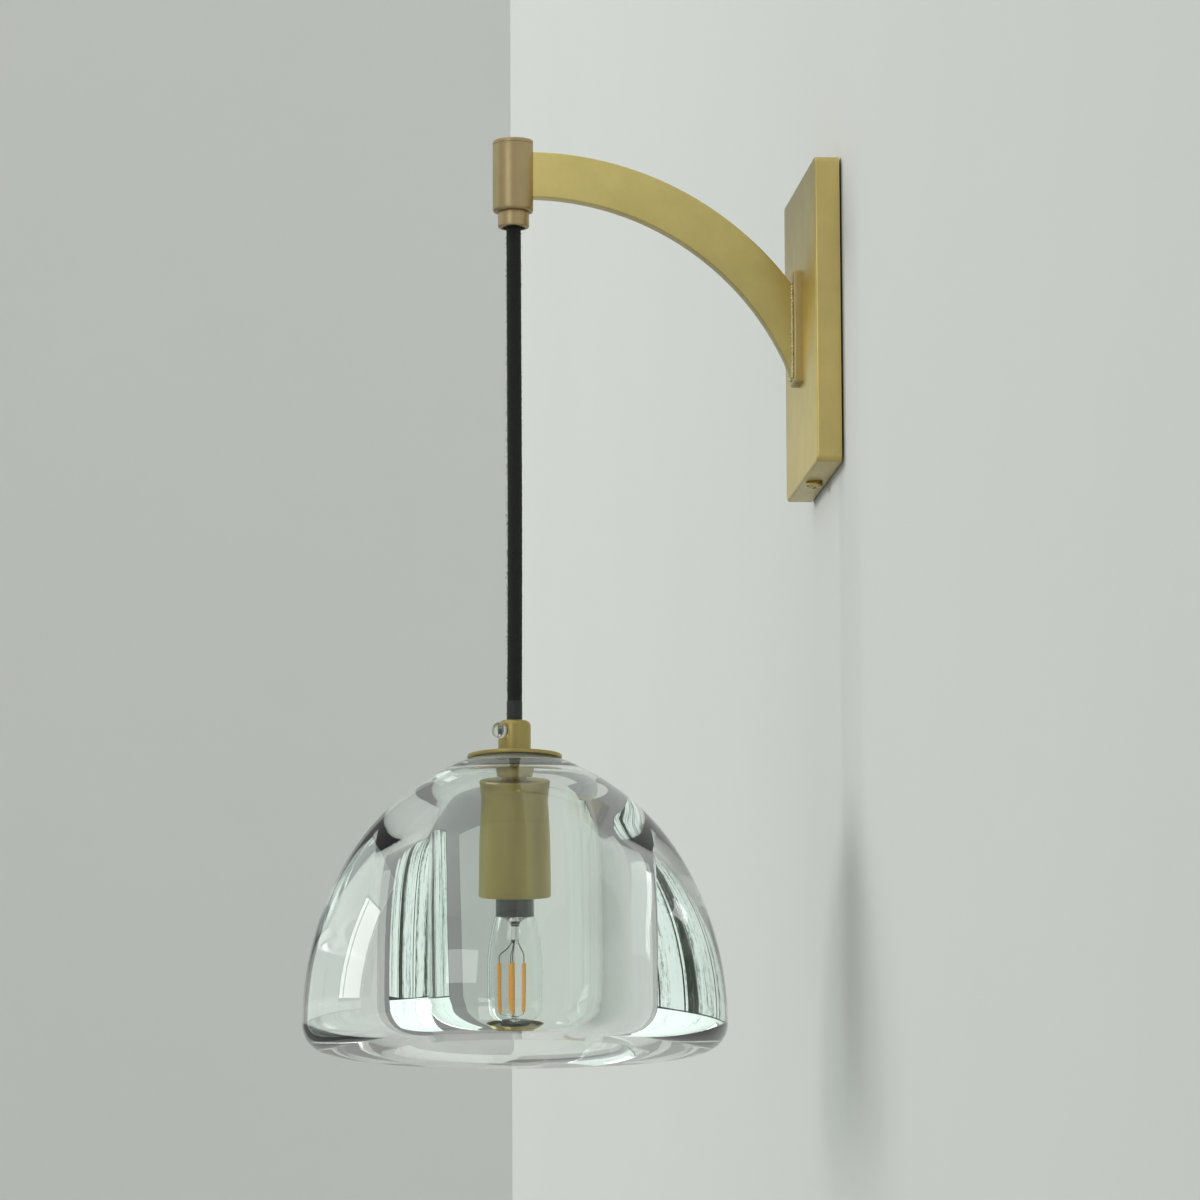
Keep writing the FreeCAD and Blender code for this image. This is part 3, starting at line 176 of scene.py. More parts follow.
class Shader(Tree):
    """A material's node tree."""

    def __init__(self, name):
        self.material = bpy.data.materials.new(name)
        self.material.use_nodes = True
        self.tree = self.material.node_tree
        self.tree.nodes.clear()
        self.output = self.tree.nodes.new("ShaderNodeOutputMaterial")

    def place(self, scale=(1, 1, 1)):
        """Object coordinates in millimetres, stretched by scale."""
        coordinates = self.node("ShaderNodeTexCoord", {}, out="Object")
        size = [1000 * s for s in scale]
        return self.node("ShaderNodeMapping", {}, Vector=coordinates, Scale=size)

    def noise(self, where, scale, detail=3.0, roughness=0.55):
        return self.node("ShaderNodeTexNoise", {}, Vector=where, Scale=scale, Detail=detail,
                         Roughness=roughness)

    def blend(self, amount, first, second, kind="MIX"):
        """Two colours mixed. The node's colour sockets are numbers 6 and 7, its output 2."""
        mix = self.tree.nodes.new("ShaderNodeMix")
        mix.data_type, mix.blend_type = "RGBA", kind
        for number, value in ((0, amount), (6, first), (7, second)):
            if isinstance(value, Wire):
                self.tree.links.new(value.socket, mix.inputs[number])
            elif number:
                mix.inputs[number].default_value = (*value, 1.0)
            else:
                mix.inputs[number].default_value = value
        return Wire(self, mix.outputs[2])

    def bump(self, height, depth, strength=1.0):
        """A normal from a height that runs from 0 to 1; depth is in millimetres."""
        return self.node("ShaderNodeBump", {}, Strength=strength, Distance=depth * MM, Height=height)

    def finish(self, surface):
        self.tree.links.new(surface.socket, self.output.inputs["Surface"])
        return self.material

    def plain(self, **sockets):
        """A Principled surface with these sockets."""
        return self.finish(self.principled(**sockets))

    def principled(self, **sockets):
        for key, value in sockets.items():
            if isinstance(value, tuple) and len(value) == 3:
                sockets[key] = (*value, 1.0)
        return self.node("ShaderNodeBsdfPrincipled", {}, **sockets)


print("shader helpers ready")

# %% [markdown]
# The room is only a stage. One wall carries the light and a second one closes the view on
# the left, as in the photograph. Both show from the front only, so that a view from behind
# looks through them at the bracket. The floor lies far below.


# %% Stage
WALL_COLOUR, FAR_WALL_COLOUR = (0.60, 0.61, 0.59), (0.745, 0.755, 0.74)
FLOOR_COLOUR = (0.62, 0.62, 0.60)
FAR_WALL_X, FAR_WALL_END = -1.757, -0.62
FLOOR_Z, WALL_TOP = -1.3, 2.2


def stage_plane(name, corners, material):
    """A flat piece of the room. It throws no shadow, so that a lamp may stand behind it."""
    mesh = bpy.data.meshes.new(name)
    mesh.from_pydata(corners, [], [(0, 1, 2, 3)])
    mesh.materials.append(material)
    plane = placed(name, mesh)
    plane.visible_shadow = False


def stood_up(start, end):
    """Corners of a wall from one point of the plan to another."""
    return [(*start, FLOOR_Z), (*end, FLOOR_Z), (*end, WALL_TOP), (*start, WALL_TOP)]


def laid_flat(low, high, z):
    """Corners of a level rectangle of the plan at height z."""
    return [(*low, z), (high[0], low[1], z), (*high, z), (low[0], high[1], z)]


def wall_material(name, colour, from_behind=True):
    """Matt paint with a faint unevenness, clear when it is seen from behind."""
    shader = Shader(name)
    where = shader.place()
    cloud = shader.noise(where, 0.004, 4.0)
    tint = shader.blend(cloud * 0.22, colour, tuple(0.86 * c for c in colour))
    grain = shader.noise(where, 0.6, 2.0)
    paint = shader.principled(Base_Color=tint, Roughness=0.9, Normal=shader.bump(grain, 0.012))
    if not from_behind:
        return shader.finish(paint)
    clear = shader.node("ShaderNodeBsdfTransparent", {})
    behind = shader.node("ShaderNodeNewGeometry", {}, out="Backfacing")
    return shader.finish(shader.node("ShaderNodeMixShader", {}, behind, paint, clear))


near_wall = wall_material("wall_paint", WALL_COLOUR)
far_wall = wall_material("far_wall_paint", FAR_WALL_COLOUR)
floor_paint = wall_material("floor_paint", FLOOR_COLOUR, from_behind=False)
stage_plane("wall", stood_up((FAR_WALL_X, 0), (4, 0)), near_wall)
stage_plane("far_wall", stood_up((FAR_WALL_X, FAR_WALL_END), (FAR_WALL_X, 0)), far_wall)
stage_plane("floor", laid_flat((-0.2, -5), (5, 3), FLOOR_Z), floor_paint)
print("stage: two walls and a floor")

# %% [markdown]
# Clear glass has no look of its own: it shows the room. Where the sight line grazes the
# inner wall, the bell works as a mirror for what lies far to the left and below, so a garden
# window with a hedge stands there and a brighter sky above it. A side window and a lamp of
# a window's shape give the two curved pale panes on its face, and a ceiling closes the room.
# None of them shows to the camera. Clear glass mirrors only a few percent, so for sharp
# reflections the windows glow more than they light the room, and ceiling and sky less.


# %% Light
def room_only(shader, surface):
    """Hides a surface from the camera's own rays; glass and metal still see it."""
    clear = shader.node("ShaderNodeBsdfTransparent", {})
    seen = shader.node("ShaderNodeLightPath", {}, out="Is Camera Ray")
    return shader.finish(shader.node("ShaderNodeMixShader", {}, seen, surface, clear))


def glow(shader, colour, strength, mirrored):
    """A glow. The mirrored part is added only for sharp reflections, as in clear glass."""
    sharp = shader.node("ShaderNodeLightPath", {}, out="Is Singular Ray")
    light = shader.node("ShaderNodeEmission", {}, colour, sharp * mirrored + strength)
    return room_only(shader, light)


def garden_material(name, strength, mirrored, cover):
    """Daylight with blurred leaves and stems in front of it; more cover is darker."""
    shader = Shader(name)
    stems = shader.noise(shader.place((1.0, 1.0, 0.10)), 0.0048, 5.0, 0.7)
    leaves = shader.noise(shader.place(), 0.012, 6.0, 0.75)
    shade = ((stems * 0.8 + leaves * 0.4 - (0.90 - cover)) * 8.0).clamped(0.0, 1.0)
    haze = shader.blend(leaves, (0.70, 0.88, 0.80), (0.93, 1.0, 0.96))
    colour = shader.blend(shade, haze, (0.03, 0.06, 0.025))
    return glow(shader, colour, strength, mirrored)


def area_lamp(name, size, energy, colour, place, target, mirrored=True):
    """A lit rectangle that looks at target and shows in glass and metal only where mirrored."""
    lamp = bpy.data.lights.new(name, "AREA")
    lamp.shape, lamp.size, lamp.size_y = "RECTANGLE", *size
    lamp.energy, lamp.color = energy, colour
    holder = placed(name, lamp)
    holder.location = place
    holder.rotation_euler = (Vector(target) - Vector(place)).to_track_quat("-Z", "Y").to_euler()
    holder.visible_glossy = holder.visible_transmission = mirrored


def panel(name, centre, size, facing, material):
    """An upright stage panel about centre whose front looks along facing."""
    normal = Vector(facing).normalized()
    side = Vector((0, 0, 1)).cross(normal).normalized() * size[0] / 2
    rise = normal.cross(side).normalized() * size[1] / 2
    middle = Vector(centre)
    corners = [middle - side - rise, middle + side - rise, middle + side + rise, middle - side + rise]
    stage_plane(name, [tuple(corner) for corner in corners], material)


def window(name, centre, size, facing, view, uprights, rails, bar):
    """A glowing opening with dark bars a little in front of it."""
    panel(name, centre, size, facing, view)
    ahead_of = Vector(facing).normalized()
    side = Vector((0, 0, 1)).cross(ahead_of)
    bar_plane = Vector(centre) + ahead_of * BAR_GAP
    for number, share in enumerate(uprights):
        place = bar_plane + side * share * size[0] / 2
        panel(f"{name}_upright_{number}", place, (bar, size[1] + bar), facing, bar_dark)
    for number, share in enumerate(rails):
        place = bar_plane + Vector((0, 0, share * size[1] / 2))
        panel(f"{name}_rail_{number}", place, (size[0] + bar, bar), facing, bar_dark)


BAR_GAP = 0.03
GARDEN_WAY, SIDE_WAY = (0.25, 1, 0), (0.26, 1, 0)
WINDOW_WHITE, PAPER_WHITE = (0.97, 1.0, 0.99, 1.0), (1.0, 0.99, 0.97, 1.0)
dark_paint = Shader("window_bar")
bar_dark = room_only(dark_paint, dark_paint.principled(Base_Color=(0.02, 0.03, 0.025), Roughness=0.6))
garden = garden_material("garden", 0.55, 0.42, 0.31)
hedge = garden_material("hedge", 0.2, 0.2, 0.45)
high_sky = garden_material("high_sky", 0.75, 0.55, 0.22)
bright = glow(Shader("bright_window"), WINDOW_WHITE, 1.0, 3.8)
room_ceiling = glow(Shader("room_ceiling"), PAPER_WHITE, 0.95, -0.6)
window("garden_window", (-2.3, -2.6, -1.8), (4.2, 3.4), GARDEN_WAY, garden,
       uprights=(-1, -0.45, 0.25, 0.7, 1), rails=(-1, 1), bar=0.06)
panel("sky_window", (-2.3, -2.62, 1.0), (4.2, 2.2), GARDEN_WAY, high_sky)
panel("hedge", (-2.45, -2.5, -1.75), (0.42, 3.3), GARDEN_WAY, hedge)
window("side_window", (-0.577, -2.305, 0.494), (0.71, 1.02), SIDE_WAY, bright,
       uprights=(-1, 0.55, 1), rails=(-1, 1), bar=0.03)
stage_plane("ceiling", laid_flat((-1.4, -3.3), (2.6, -0.2), 2.25), room_ceiling)
area_lamp("front_window", (0.85, 0.6), 4.2, (0.97, 1.0, 0.98), (2.36, -1.744, 0.609), (0, -0.15, -0.3))
area_lamp("garden_daylight", (2.0, 1.4), 160.0, (0.98, 1.0, 0.98), (-2.2, -4.95, 1.3), (0, 0, -0.3),
          mirrored=False)
world = bpy.data.worlds.new("sky")
bpy.context.scene.world = world
world.use_nodes = True
sky = world.node_tree.nodes["Background"]
sky.inputs["Color"].default_value = (0.60, 0.61, 0.60, 1.0)
kind_of_ray = world.node_tree.nodes.new("ShaderNodeLightPath")
dimmer = world.node_tree.nodes.new("ShaderNodeMath")
dimmer.operation = "MULTIPLY_ADD"
SKY_STRENGTH, SKY_LESS_IN_GLASS = 0.8, 0.42
dimmer.inputs[1].default_value = -SKY_LESS_IN_GLASS
dimmer.inputs[2].default_value = SKY_STRENGTH
world.node_tree.links.new(kind_of_ray.outputs["Is Singular Ray"], dimmer.inputs[0])
world.node_tree.links.new(dimmer.outputs[0], sky.inputs["Strength"])
print("light: garden, sky and side windows, ceiling, two lamps, sky")

# %% [markdown]
# Most pieces of a lamp are turned on a lathe, so most pieces here are too: a half section
# goes round the axis. Real edges are never knife sharp and it is the small round on an edge
# that catches the light, so each corner of a section is softened first.


# %% Mesh helpers
def add_object(name, mesh, material=None):
    piece = placed(name, mesh)
    if material is not None:
        mesh.materials.clear()
        mesh.materials.append(material)
    return piece


def smoothed(mesh, angle=32.0):
    """Smooth shading with edges over angle left sharp."""
    mesh.polygons.foreach_set("use_smooth", [True] * len(mesh.polygons))
    mesh.set_sharp_from_angle(angle=math.radians(angle))
    return mesh


def mesh_from(name, points, faces):
    mesh = bpy.data.meshes.new(name)
    mesh.from_pydata([tuple(c * MM for c in point) for point in points], [], faces)
    shape = bmesh.new()
    shape.from_mesh(mesh)
    bmesh.ops.remove_doubles(shape, verts=shape.verts, dist=1e-7)
    bmesh.ops.recalc_face_normals(shape, faces=shape.faces)
    if shape.calc_volume(signed=True) < 0:
        bmesh.ops.reverse_faces(shape, faces=shape.faces)
    shape.to_mesh(mesh)
    shape.free()
    return mesh


def skin(rings, first=0):
    """Points and faces of a closed tube through rings of points; first is the first number."""
    count = len(rings[0])
    last = first + (len(rings) - 1) * count
    faces = []
    for start in range(first, last, count):
        for m in range(count):
            a, b = start + m, start + (m + 1) % count
            faces.append([a, b, b + count, a + count])
    faces.append([first + m for m in range(count)])
    faces.append([last + m for m in reversed(range(count))])
    return [point for ring in rings for point in ring], faces


def evaluated(piece):
    """The mesh that an object shows, with its modifiers or its spline worked out."""
    return bpy.data.meshes.new_from_object(piece.evaluated_get(bpy.context.evaluated_depsgraph_get()))


def arc(centre, radius, start, end, steps):
    """Points of an arc in a section, angles in degrees, 0 outward and 90 up."""
    turns = [math.radians(start + (end - start) * n / steps) for n in range(steps + 1)]
    return [(centre[0] + radius * math.cos(t), centre[1] + radius * math.sin(t)) for t in turns]


def softened(section, radius, steps=3):
    """A closed section with each sharp corner off the axis replaced by a small round."""
    points = []
    count = len(section)
    for n, corner in enumerate(section):
        here = Vector(corner)
        before, after = Vector(section[n - 1]) - here, Vector(section[(n + 1) % count]) - here
        sharp = math.degrees(before.angle(after, math.pi)) if before.length and after.length else 180
        room = min(before.length, after.length) * 0.45
        if sharp > 150 or corner[0] < 1e-6 or room < 1e-4:
            points.append(corner)
            continue
        reach = min(radius, room)
        start, end = here + before.normalized() * reach, here + after.normalized() * reach
        for step in range(steps + 1):
            t = step / steps
            bent = start * (1 - t) ** 2 + here * 2 * t * (1 - t) + end * t ** 2
            points.append((bent.x, bent.y))
    return points


def turned_mesh(name, section, segments=96, centre=(0.0, AXIS_Y)):
    """A closed half section, in millimetres, turned about an upright axis.

    It may also be a function that gives the section for each share of the turn."""
    columns = [section(n / segments) if callable(section) else section for n in range(segments)]
    count = len(columns[0])
    points, faces = [], []
    for n, column in enumerate(columns):
        angle = 2 * math.pi * n / segments
        across, deep = math.cos(angle), math.sin(angle)
        points += [(centre[0] + r * across, centre[1] + r * deep, z) for r, z in column]
        here, following = n * count, ((n + 1) % segments) * count
        for m in range(count):
            after = (m + 1) % count
            if max(column[m][0], column[after][0]) >= 1e-6:
                faces.append([here + m, following + m, following + after, here + after])
    return mesh_from(name, points, faces)


def turned(name, section, material, body, nodes, edge=0.25, segments=96, angle=32.0):
    """A turned piece that stands for CAD nodes and rides on their body; edge rounds its corners."""
    mesh = turned_mesh(name, softened(section, edge) if edge else section, segments)
    piece = add_object(name, smoothed(mesh, angle), material)
    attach(piece, body)
    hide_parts(*nodes)
    print(name, "turned,", len(mesh.polygons), "faces")
    return piece


def levels(node):
    """Lowest and highest level and outer radius of a round CAD node, in millimetres."""
    low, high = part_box(node)
    return low[2] / MM, high[2] / MM, (high[0] - low[0]) / 2 / MM


def ring_section(inner, outer, low, high):
    return [(inner, low), (outer, low), (outer, high), (inner, high)]


print("mesh helpers ready")

# %% [markdown]
# The brass is solid colour metal with a satin brushed face: fine scratches run one way and
# break the reflection up, and the lacquer over them is a little uneven. Noise that is
# squeezed in one direction makes the scratches. It feeds the roughness, a shallow bump and
# a few percent of the colour. Larger soft patches make the uneven lacquer. Painted shade
# darkens the faces that look down, and a slow gradient of painted light and shade runs along
# the arm and down the plate, as the photograph shows them.


# %% Brass
def brass(name, colour, along=(1.0, 1.0, 0.04), rough=0.34, scratch=0.5, painted_fade=None):
    """Brushed brass. The scratches are long where along is small.

    painted_fade (axis, from, to, first factor, last factor, front only) is painted light and shade:
    it makes the colour evenly darker or brighter from one level to the other. Faces that look
    down always get painted shade."""
    shader = Shader(name)
    fine = shader.noise(shader.place(along), 2.6, 4.0, 0.6)
    coarse = shader.noise(shader.place(tuple(0.3 * a for a in along)), 1.2, 2.0)
    patch = shader.noise(shader.place(), 0.055, 4.0, 0.6)
    darker = tuple(0.80 * c for c in colour)
    tint = shader.blend(((patch - 0.38) * 1.3 + fine * 0.12).clamped(0.0, 0.9), colour, darker)
    facing = shader.node("ShaderNodeTexCoord", {}, out="Normal")
    # Painted shade: faces that look down are darkened, up to half way towards a quarter of the colour.
    below = (facing.axis(2) * -1.0).clamped(0.0, 1.0)
    tint = shader.blend(below * 0.5, tint, tuple(0.25 * c for c in colour))
    # Painted light and shade: the colour is multiplied by a factor that runs from first to last, on the front
    # faces only where front_only is set.
    if painted_fade:
        axis, start, end, first, last, front_only = painted_fade
        share = ((shader.place().axis(axis) - start) / (end - start)).clamped(0.0, 1.0)
        shaded = shader.blend(1.0, tint, shader.blend(share, (first,) * 3, (last,) * 3), "MULTIPLY")
        forward = (facing.axis(1) * -1.0).clamped(0.0, 1.0)
        tint = shader.blend(forward if front_only else 1.0, tint, shaded)
    roughness = (fine * 0.16 + coarse * 0.10 + patch * 0.08 + (rough - 0.17)).clamped(0.12, 0.7)
    normal = shader.bump(fine * 0.7 + coarse * 0.3, 0.02, scratch)
    return shader.plain(Base_Color=tint, Metallic=1.0, Roughness=roughness, Normal=normal)


# Painted light brightens the arm towards the hub; on the plate's front, painted shade darkens the top and
# painted light brightens it low down.
brass_arm = brass("brass_arm", (0.65, 0.535, 0.205), painted_fade=(1, -30.0, -145.0, 1.0, 1.42, False))
brass_plate = brass("brass_plate", (0.71, 0.56, 0.215), painted_fade=(2, 75.0, -55.0, 0.62, 1.36, True))
brass_pad = brass("brass_pad", (0.58, 0.465, 0.21), rough=0.38)
brass_hub = brass("brass_hub", (0.50, 0.385, 0.205), along=(1.0, 1.0, 0.05), rough=0.40)
brass_turned = brass("brass_turned", (0.46, 0.365, 0.135), along=(0.05, 0.05, 1.0), rough=0.38)
brass_cup = brass("brass_cup", (0.47, 0.37, 0.115), along=(1.0, 1.0, 0.05), rough=0.36)
brass_weld = brass("brass_weld", (0.78, 0.70, 0.44), along=(1.0, 1.0, 1.0), rough=0.32, scratch=1.0)
brass_bright = brass("brass_bright", (0.66, 0.53, 0.25), along=(1.0, 1.0, 1.0), rough=0.25, scratch=0.3)
print("brass finishes ready")

# %% [markdown]
# The bell is one thick lump of clear glass, up to 60 mm of it in the flanks. It needs a
# closed surface with true curves, because each facet would show as a kink in whatever is
# seen through it. Rays from the lamps pass straight through, tinted, so the pieces inside
# stay lit.


# %% Glass finishes
def clear(name, tint, through, roughness=0.0, ripple=0.0, ior=1.5, share=1.0):
    """Clear glass or plastic, milky where share is below 1. Lamp rays take the through colour."""
    shader = Shader(name)
    sockets = {"Base_Color": tint, "Roughness": roughness, "IOR": ior, "Transmission_Weight": share}
    if ripple:
        wave = shader.noise(shader.place((1.0, 1.0, 0.4)), 0.06, 2.0)
        sockets["Normal"] = shader.bump(wave, ripple)
    glass = shader.principled(**sockets)
    passing = shader.node("ShaderNodeBsdfTransparent", {}, (*through, 1.0))
    lamp_ray = shader.node("ShaderNodeLightPath", {}, out="Is Shadow Ray")
    return shader.finish(shader.node("ShaderNodeMixShader", {}, lamp_ray, glass, passing))


shade_glass = clear("shade_glass", (0.955, 0.99, 0.968), (0.80, 0.83, 0.81), ripple=0.02, ior=1.62)
envelope_glass = clear("envelope_glass", (0.99, 1.0, 0.99), (0.97, 0.98, 0.97))
gasket_clear = clear("gasket_clear", (0.95, 0.97, 0.95), (0.85, 0.88, 0.85), roughness=0.06, ior=1.41,
                     share=0.5)
nylon_clear = clear("nylon_clear", (0.93, 0.95, 0.93), (0.8, 0.84, 0.8), roughness=0.22)
print("glass finishes ready")


# %% Glass bell
GLASS_BOTTOM, GLASS_TOP, _ = levels("glass_shade")
GLASS = {"radius": 100.0, "top_radius": 22.5, "top_slope": 21.0, "edge": 13.0, "slab": 10.0,
         "hole": 5.5, "cavity": 41.3, "flat": 17.3, "flare": 20.0}


def biarc(start, start_slope, end, steps):
    """Two arcs that leave start at a slope, in degrees below level, and reach end upright."""
    across, down = end[0] - start[0], start[1] - end[1]
    slope = math.radians(start_slope)
    level, steep = math.cos(slope), math.sin(slope)
    along = across * level + down * (steep + 1)
    chord = across ** 2 + down ** 2
    tangent = (math.sqrt(along ** 2 + 2 * (1 - steep) * chord) - along) / (2 * (1 - steep))
    x, y = (across + tangent * level) / 2, (down - tangent + tangent * steep) / 2
    shoulder = (x * x + y * y) / (2 * (level * y - steep * x))
    flank = ((across - x) ** 2 + (down - y) ** 2) / (2 * (across - x))
    first_centre = (start[0] - shoulder * steep, start[1] - shoulder * level)
    joint_angle = math.degrees(math.atan2(start[1] - y - first_centre[1], start[0] + x - first_centre[0]))
    first = arc(first_centre, shoulder, 90 - start_slope, joint_angle, steps)
    second = arc((end[0] - flank, end[1]), flank, joint_angle, 0, steps)
    return first + second[1:]


def glass_section():
    g = GLASS
    top, low = GLASS_TOP, GLASS_BOTTOM
    corner = g["cavity"] - g["flat"]
    section = [(g["hole"], top), (g["hole"], top - g["slab"])]
    section += arc((g["flat"], top - g["slab"] - corner), corner, 90, 0, 32)
    section += arc((g["cavity"] + g["flare"], low + g["flare"]), g["flare"], 180, 270, 28)
    section += arc((g["radius"] - g["edge"], low + g["edge"]), g["edge"], 270, 360, 20)
    outside = biarc((g["top_radius"], top), g["top_slope"], (g["radius"], low + g["edge"]), 48)
    return section + outside[-2::-1]


turned("glass_bell", softened(glass_section(), 0.4), shade_glass, "pendant", ["glass_shade"], edge=0,
       segments=256, angle=40.0)

# %% [markdown]
# The arm is a flat tube bent on edge. Its side view follows a rule: every line along it is a
# circle about one centre, and its ends are cut upright. So a straight bar is made first, and
# a Geometry Nodes tree bends it by that rule, with the bend's size as a named input. Both
# kinds of tree have the same Math node, so the bend's rule is plain arithmetic as well.


# %% Arm
class Grower(Tree):
    """A Geometry Nodes tree. Its inputs are given as label and kind, after a Geometry."""

    def __init__(self, name, inputs):
        self.tree = bpy.data.node_groups.new(name, "GeometryNodeTree")
        for label, kind in [("Geometry", "Geometry"), *inputs]:
            self.tree.interface.new_socket(label, in_out="INPUT", socket_type="NodeSocket" + kind)
        self.tree.interface.new_socket("Geometry", in_out="OUTPUT", socket_type="NodeSocketGeometry")
        self.entry = self.tree.nodes.new("NodeGroupInput")
        self.leave = self.tree.nodes.new("NodeGroupOutput")

    def __getitem__(self, label):
        """One of the tree's inputs."""
        return Wire(self, self.entry.outputs[label])

    def vector(self, x=0.0, y=0.0, z=0.0):
        return self.node("ShaderNodeCombineXYZ", {}, x, y, z)

    def chance(self, seed, low, high):
        """A vector drawn between low and high from a fixed seed."""
        return self.node("FunctionNodeRandomValue", {"data_type": "FLOAT_VECTOR"}, low, high, Seed=seed)

    def end(self, geometry):
        self.tree.links.new(geometry.socket, self.leave.inputs[0])
        return self.tree

    def end_painted(self, copies):
        """Makes copies real and gives them the Material input before they leave the tree."""
        real = self.node("GeometryNodeRealizeInstances", {}, Geometry=copies)
        return self.end(self.node("GeometryNodeSetMaterial", {}, Geometry=real, Material=self["Material"]))


def grown(name, mesh, tree, values, material=None):
    """The mesh that a tree makes from another mesh, as a plain object."""
    holder = placed(name, mesh)
    modifier = holder.modifiers.new("grow", "NODES")
    modifier.node_group = tree
    keys = {item.name: item.identifier for item in tree.interface.items_tree if item.in_out == "INPUT"}
    for label, value in values.items():
        modifier[keys[label]] = value
    made = evaluated(holder)
    bpy.data.objects.remove(holder)
    made.name = name
    return add_object(name, made, material)


def bend_tree():
    """Moves each point of a straight bar onto its circle about the bend's centre."""
    bend = Grower("bend on edge", [("Inner radius", "Float"), ("Start", "Float"), ("Centre height", "Float")])
    place = bend.node("GeometryNodeInputPosition", {})
    run = place.axis(1) - bend["Start"]
    radius = place.axis(2) + bend["Inner radius"]
    height = (radius * radius - run * run).root() + bend["Centre height"]
    bent = bend.vector(place.axis(0), place.axis(1), height)
    return bend.end(bend.node("GeometryNodeSetPosition", {}, Geometry=bend["Geometry"], Position=bent))


def rounded_box_section(half_width, half_height, radius, steps=4):
    """A closed rounded rectangle about the origin."""
    points = []
    for sign_x, sign_y, start in ((1, 1, 0), (-1, 1, 90), (-1, -1, 180), (1, -1, 270)):
        centre = (sign_x * (half_width - radius), sign_y * (half_height - radius))
        points += arc(centre, radius, start, start + 90, steps)
    return points


def bar_mesh(name, section, start, end, steps):
    """A straight bar along Y with its section in X and Z, closed at both ends."""
    stations = [start + (end - start) * n / steps for n in range(steps + 1)]
    return mesh_from(name, *skin([[(x, y, z) for x, z in section] for y in stations]))


ARM = {"inner": 133.28, "height": 22.0, "half_width": 4.0, "edge": 0.55}
arm_low, arm_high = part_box("arm_tube")
half_arm = ARM["height"] / 2
arm_section = [(x, z + half_arm) for x, z in rounded_box_section(ARM["half_width"], half_arm, ARM["edge"])]
straight = bar_mesh("arm_straight", arm_section, arm_low[1] / MM, arm_high[1] / MM, 120)
arm_centre = arm_high[2] / MM - ARM["inner"] - ARM["height"]
arm_piece = grown("arm", straight, bend_tree(), {
    "Inner radius": ARM["inner"] * MM,
    "Start": arm_low[1],
    "Centre height": arm_centre * MM,
}, brass_arm)
smoothed(arm_piece.data)
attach(arm_piece, "wall_fixture")
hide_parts("arm_tube")
print("arm bent about a centre at z", round(arm_centre, 2), "mm")

# %% [markdown]
# The backplate is a shallow pressed box with soft edges, open at the wall. Rings of points
# that shrink towards the front make such a shape with even, clean rounds.


# %% Backplate and foot pad
LEAST_ROUND = 0.15


def box_rings(name, centre, rings, half_width, half_height, corner):
    """A closed shape through rings of (y, inset), each a rounded rectangle in X and Z."""
    outlines = []
    for y, inset in rings:
        radius = max(corner - inset, LEAST_ROUND)
        ring = rounded_box_section(half_width - inset, half_height - inset, radius, 5)
        outlines.append([(centre[0] + x, y, centre[1] + z) for x, z in ring])
    return mesh_from(name, *skin(outlines))


def rounded_front(y, depth, edge, steps=5):
    """Rings of a front edge: from the side wall, round the edge, onto the front at y - depth."""
    turns = [math.radians(90 * n / steps) for n in range(steps + 1)]
    front = y - depth
    return [(front + edge - edge * math.sin(t), edge - edge * math.cos(t)) for t in turns]


def flat_box(name, node, edge, corner, material, wall=0.0):
    """A flat box with soft front edges in a CAD node's place, hollow behind where it has a wall."""
    low, high = (Vector(c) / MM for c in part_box(node))
    half = ((high.x - low.x) / 2, (high.z - low.z) / 2)
    hollow = [(low.y + wall, wall), (high.y, wall)] if wall else []
    rings = hollow + [(high.y, 0.0)] + rounded_front(high.y, high.y - low.y, edge)
    mesh = box_rings(name, (0, (low.z + high.z) / 2), rings, *half, corner)
    print(name, [round(2 * h, 1) for h in half], "mm")
    return add_object(name, smoothed(mesh), material)


cover = flat_box("backplate", "backplate_cover", 1.4, 3.0, brass_plate, wall=1.5)
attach(cover, "wall_fixture")
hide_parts("backplate_cover")
pad = flat_box("arm_foot_pad", "foot_pad", 0.9, 1.2, brass_pad)
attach(pad, "wall_fixture")
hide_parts("foot_pad")

# %% [markdown]
# A weld bead is a row of small overlapping drops. That is a repeat with a little chance in
# it, so a tree sets a drop on each point of a line, with its size and turn drawn from a
# fixed seed, and makes the copies real at the end.


# %% Weld beads
def bead_tree():
    """Two rows of drops, one on each side of the arm's foot."""
    bead = Grower("weld bead", [("Length", "Float"), ("Count", "Int"), ("Drop radius", "Float"),
                                ("Side", "Float"), ("Depth", "Float"), ("Foot", "Float"),
                                ("Material", "Material")])
    both = bead.node("GeometryNodeJoinGeometry", {})
    step = bead.vector(z=bead["Length"] / bead["Count"])
    for seed, sign in ((3, 1.0), (8, -1.0)):
        start = bead.vector(bead["Side"] * sign, bead["Depth"], bead["Foot"])
        line = bead.node("GeometryNodeMeshLine", {}, Count=bead["Count"], Start_Location=start, Offset=step)
        drop = bead.node("GeometryNodeMeshIcoSphere", {}, Radius=bead["Drop radius"], Subdivisions=2)
        size = bead.chance(seed, (0.75, 0.7, 0.7), (1.2, 1.1, 1.25))
        spin = bead.chance(seed + 1, (-0.5, -0.5, -0.5), (0.5, 0.5, 0.5))
        row = bead.node("GeometryNodeInstanceOnPoints", {}, Points=line, Instance=drop, Scale=size,
                        Rotation=spin)
        bead.tree.links.new(row.socket, both.socket.node.inputs[0])
    return bead.end_painted(both)


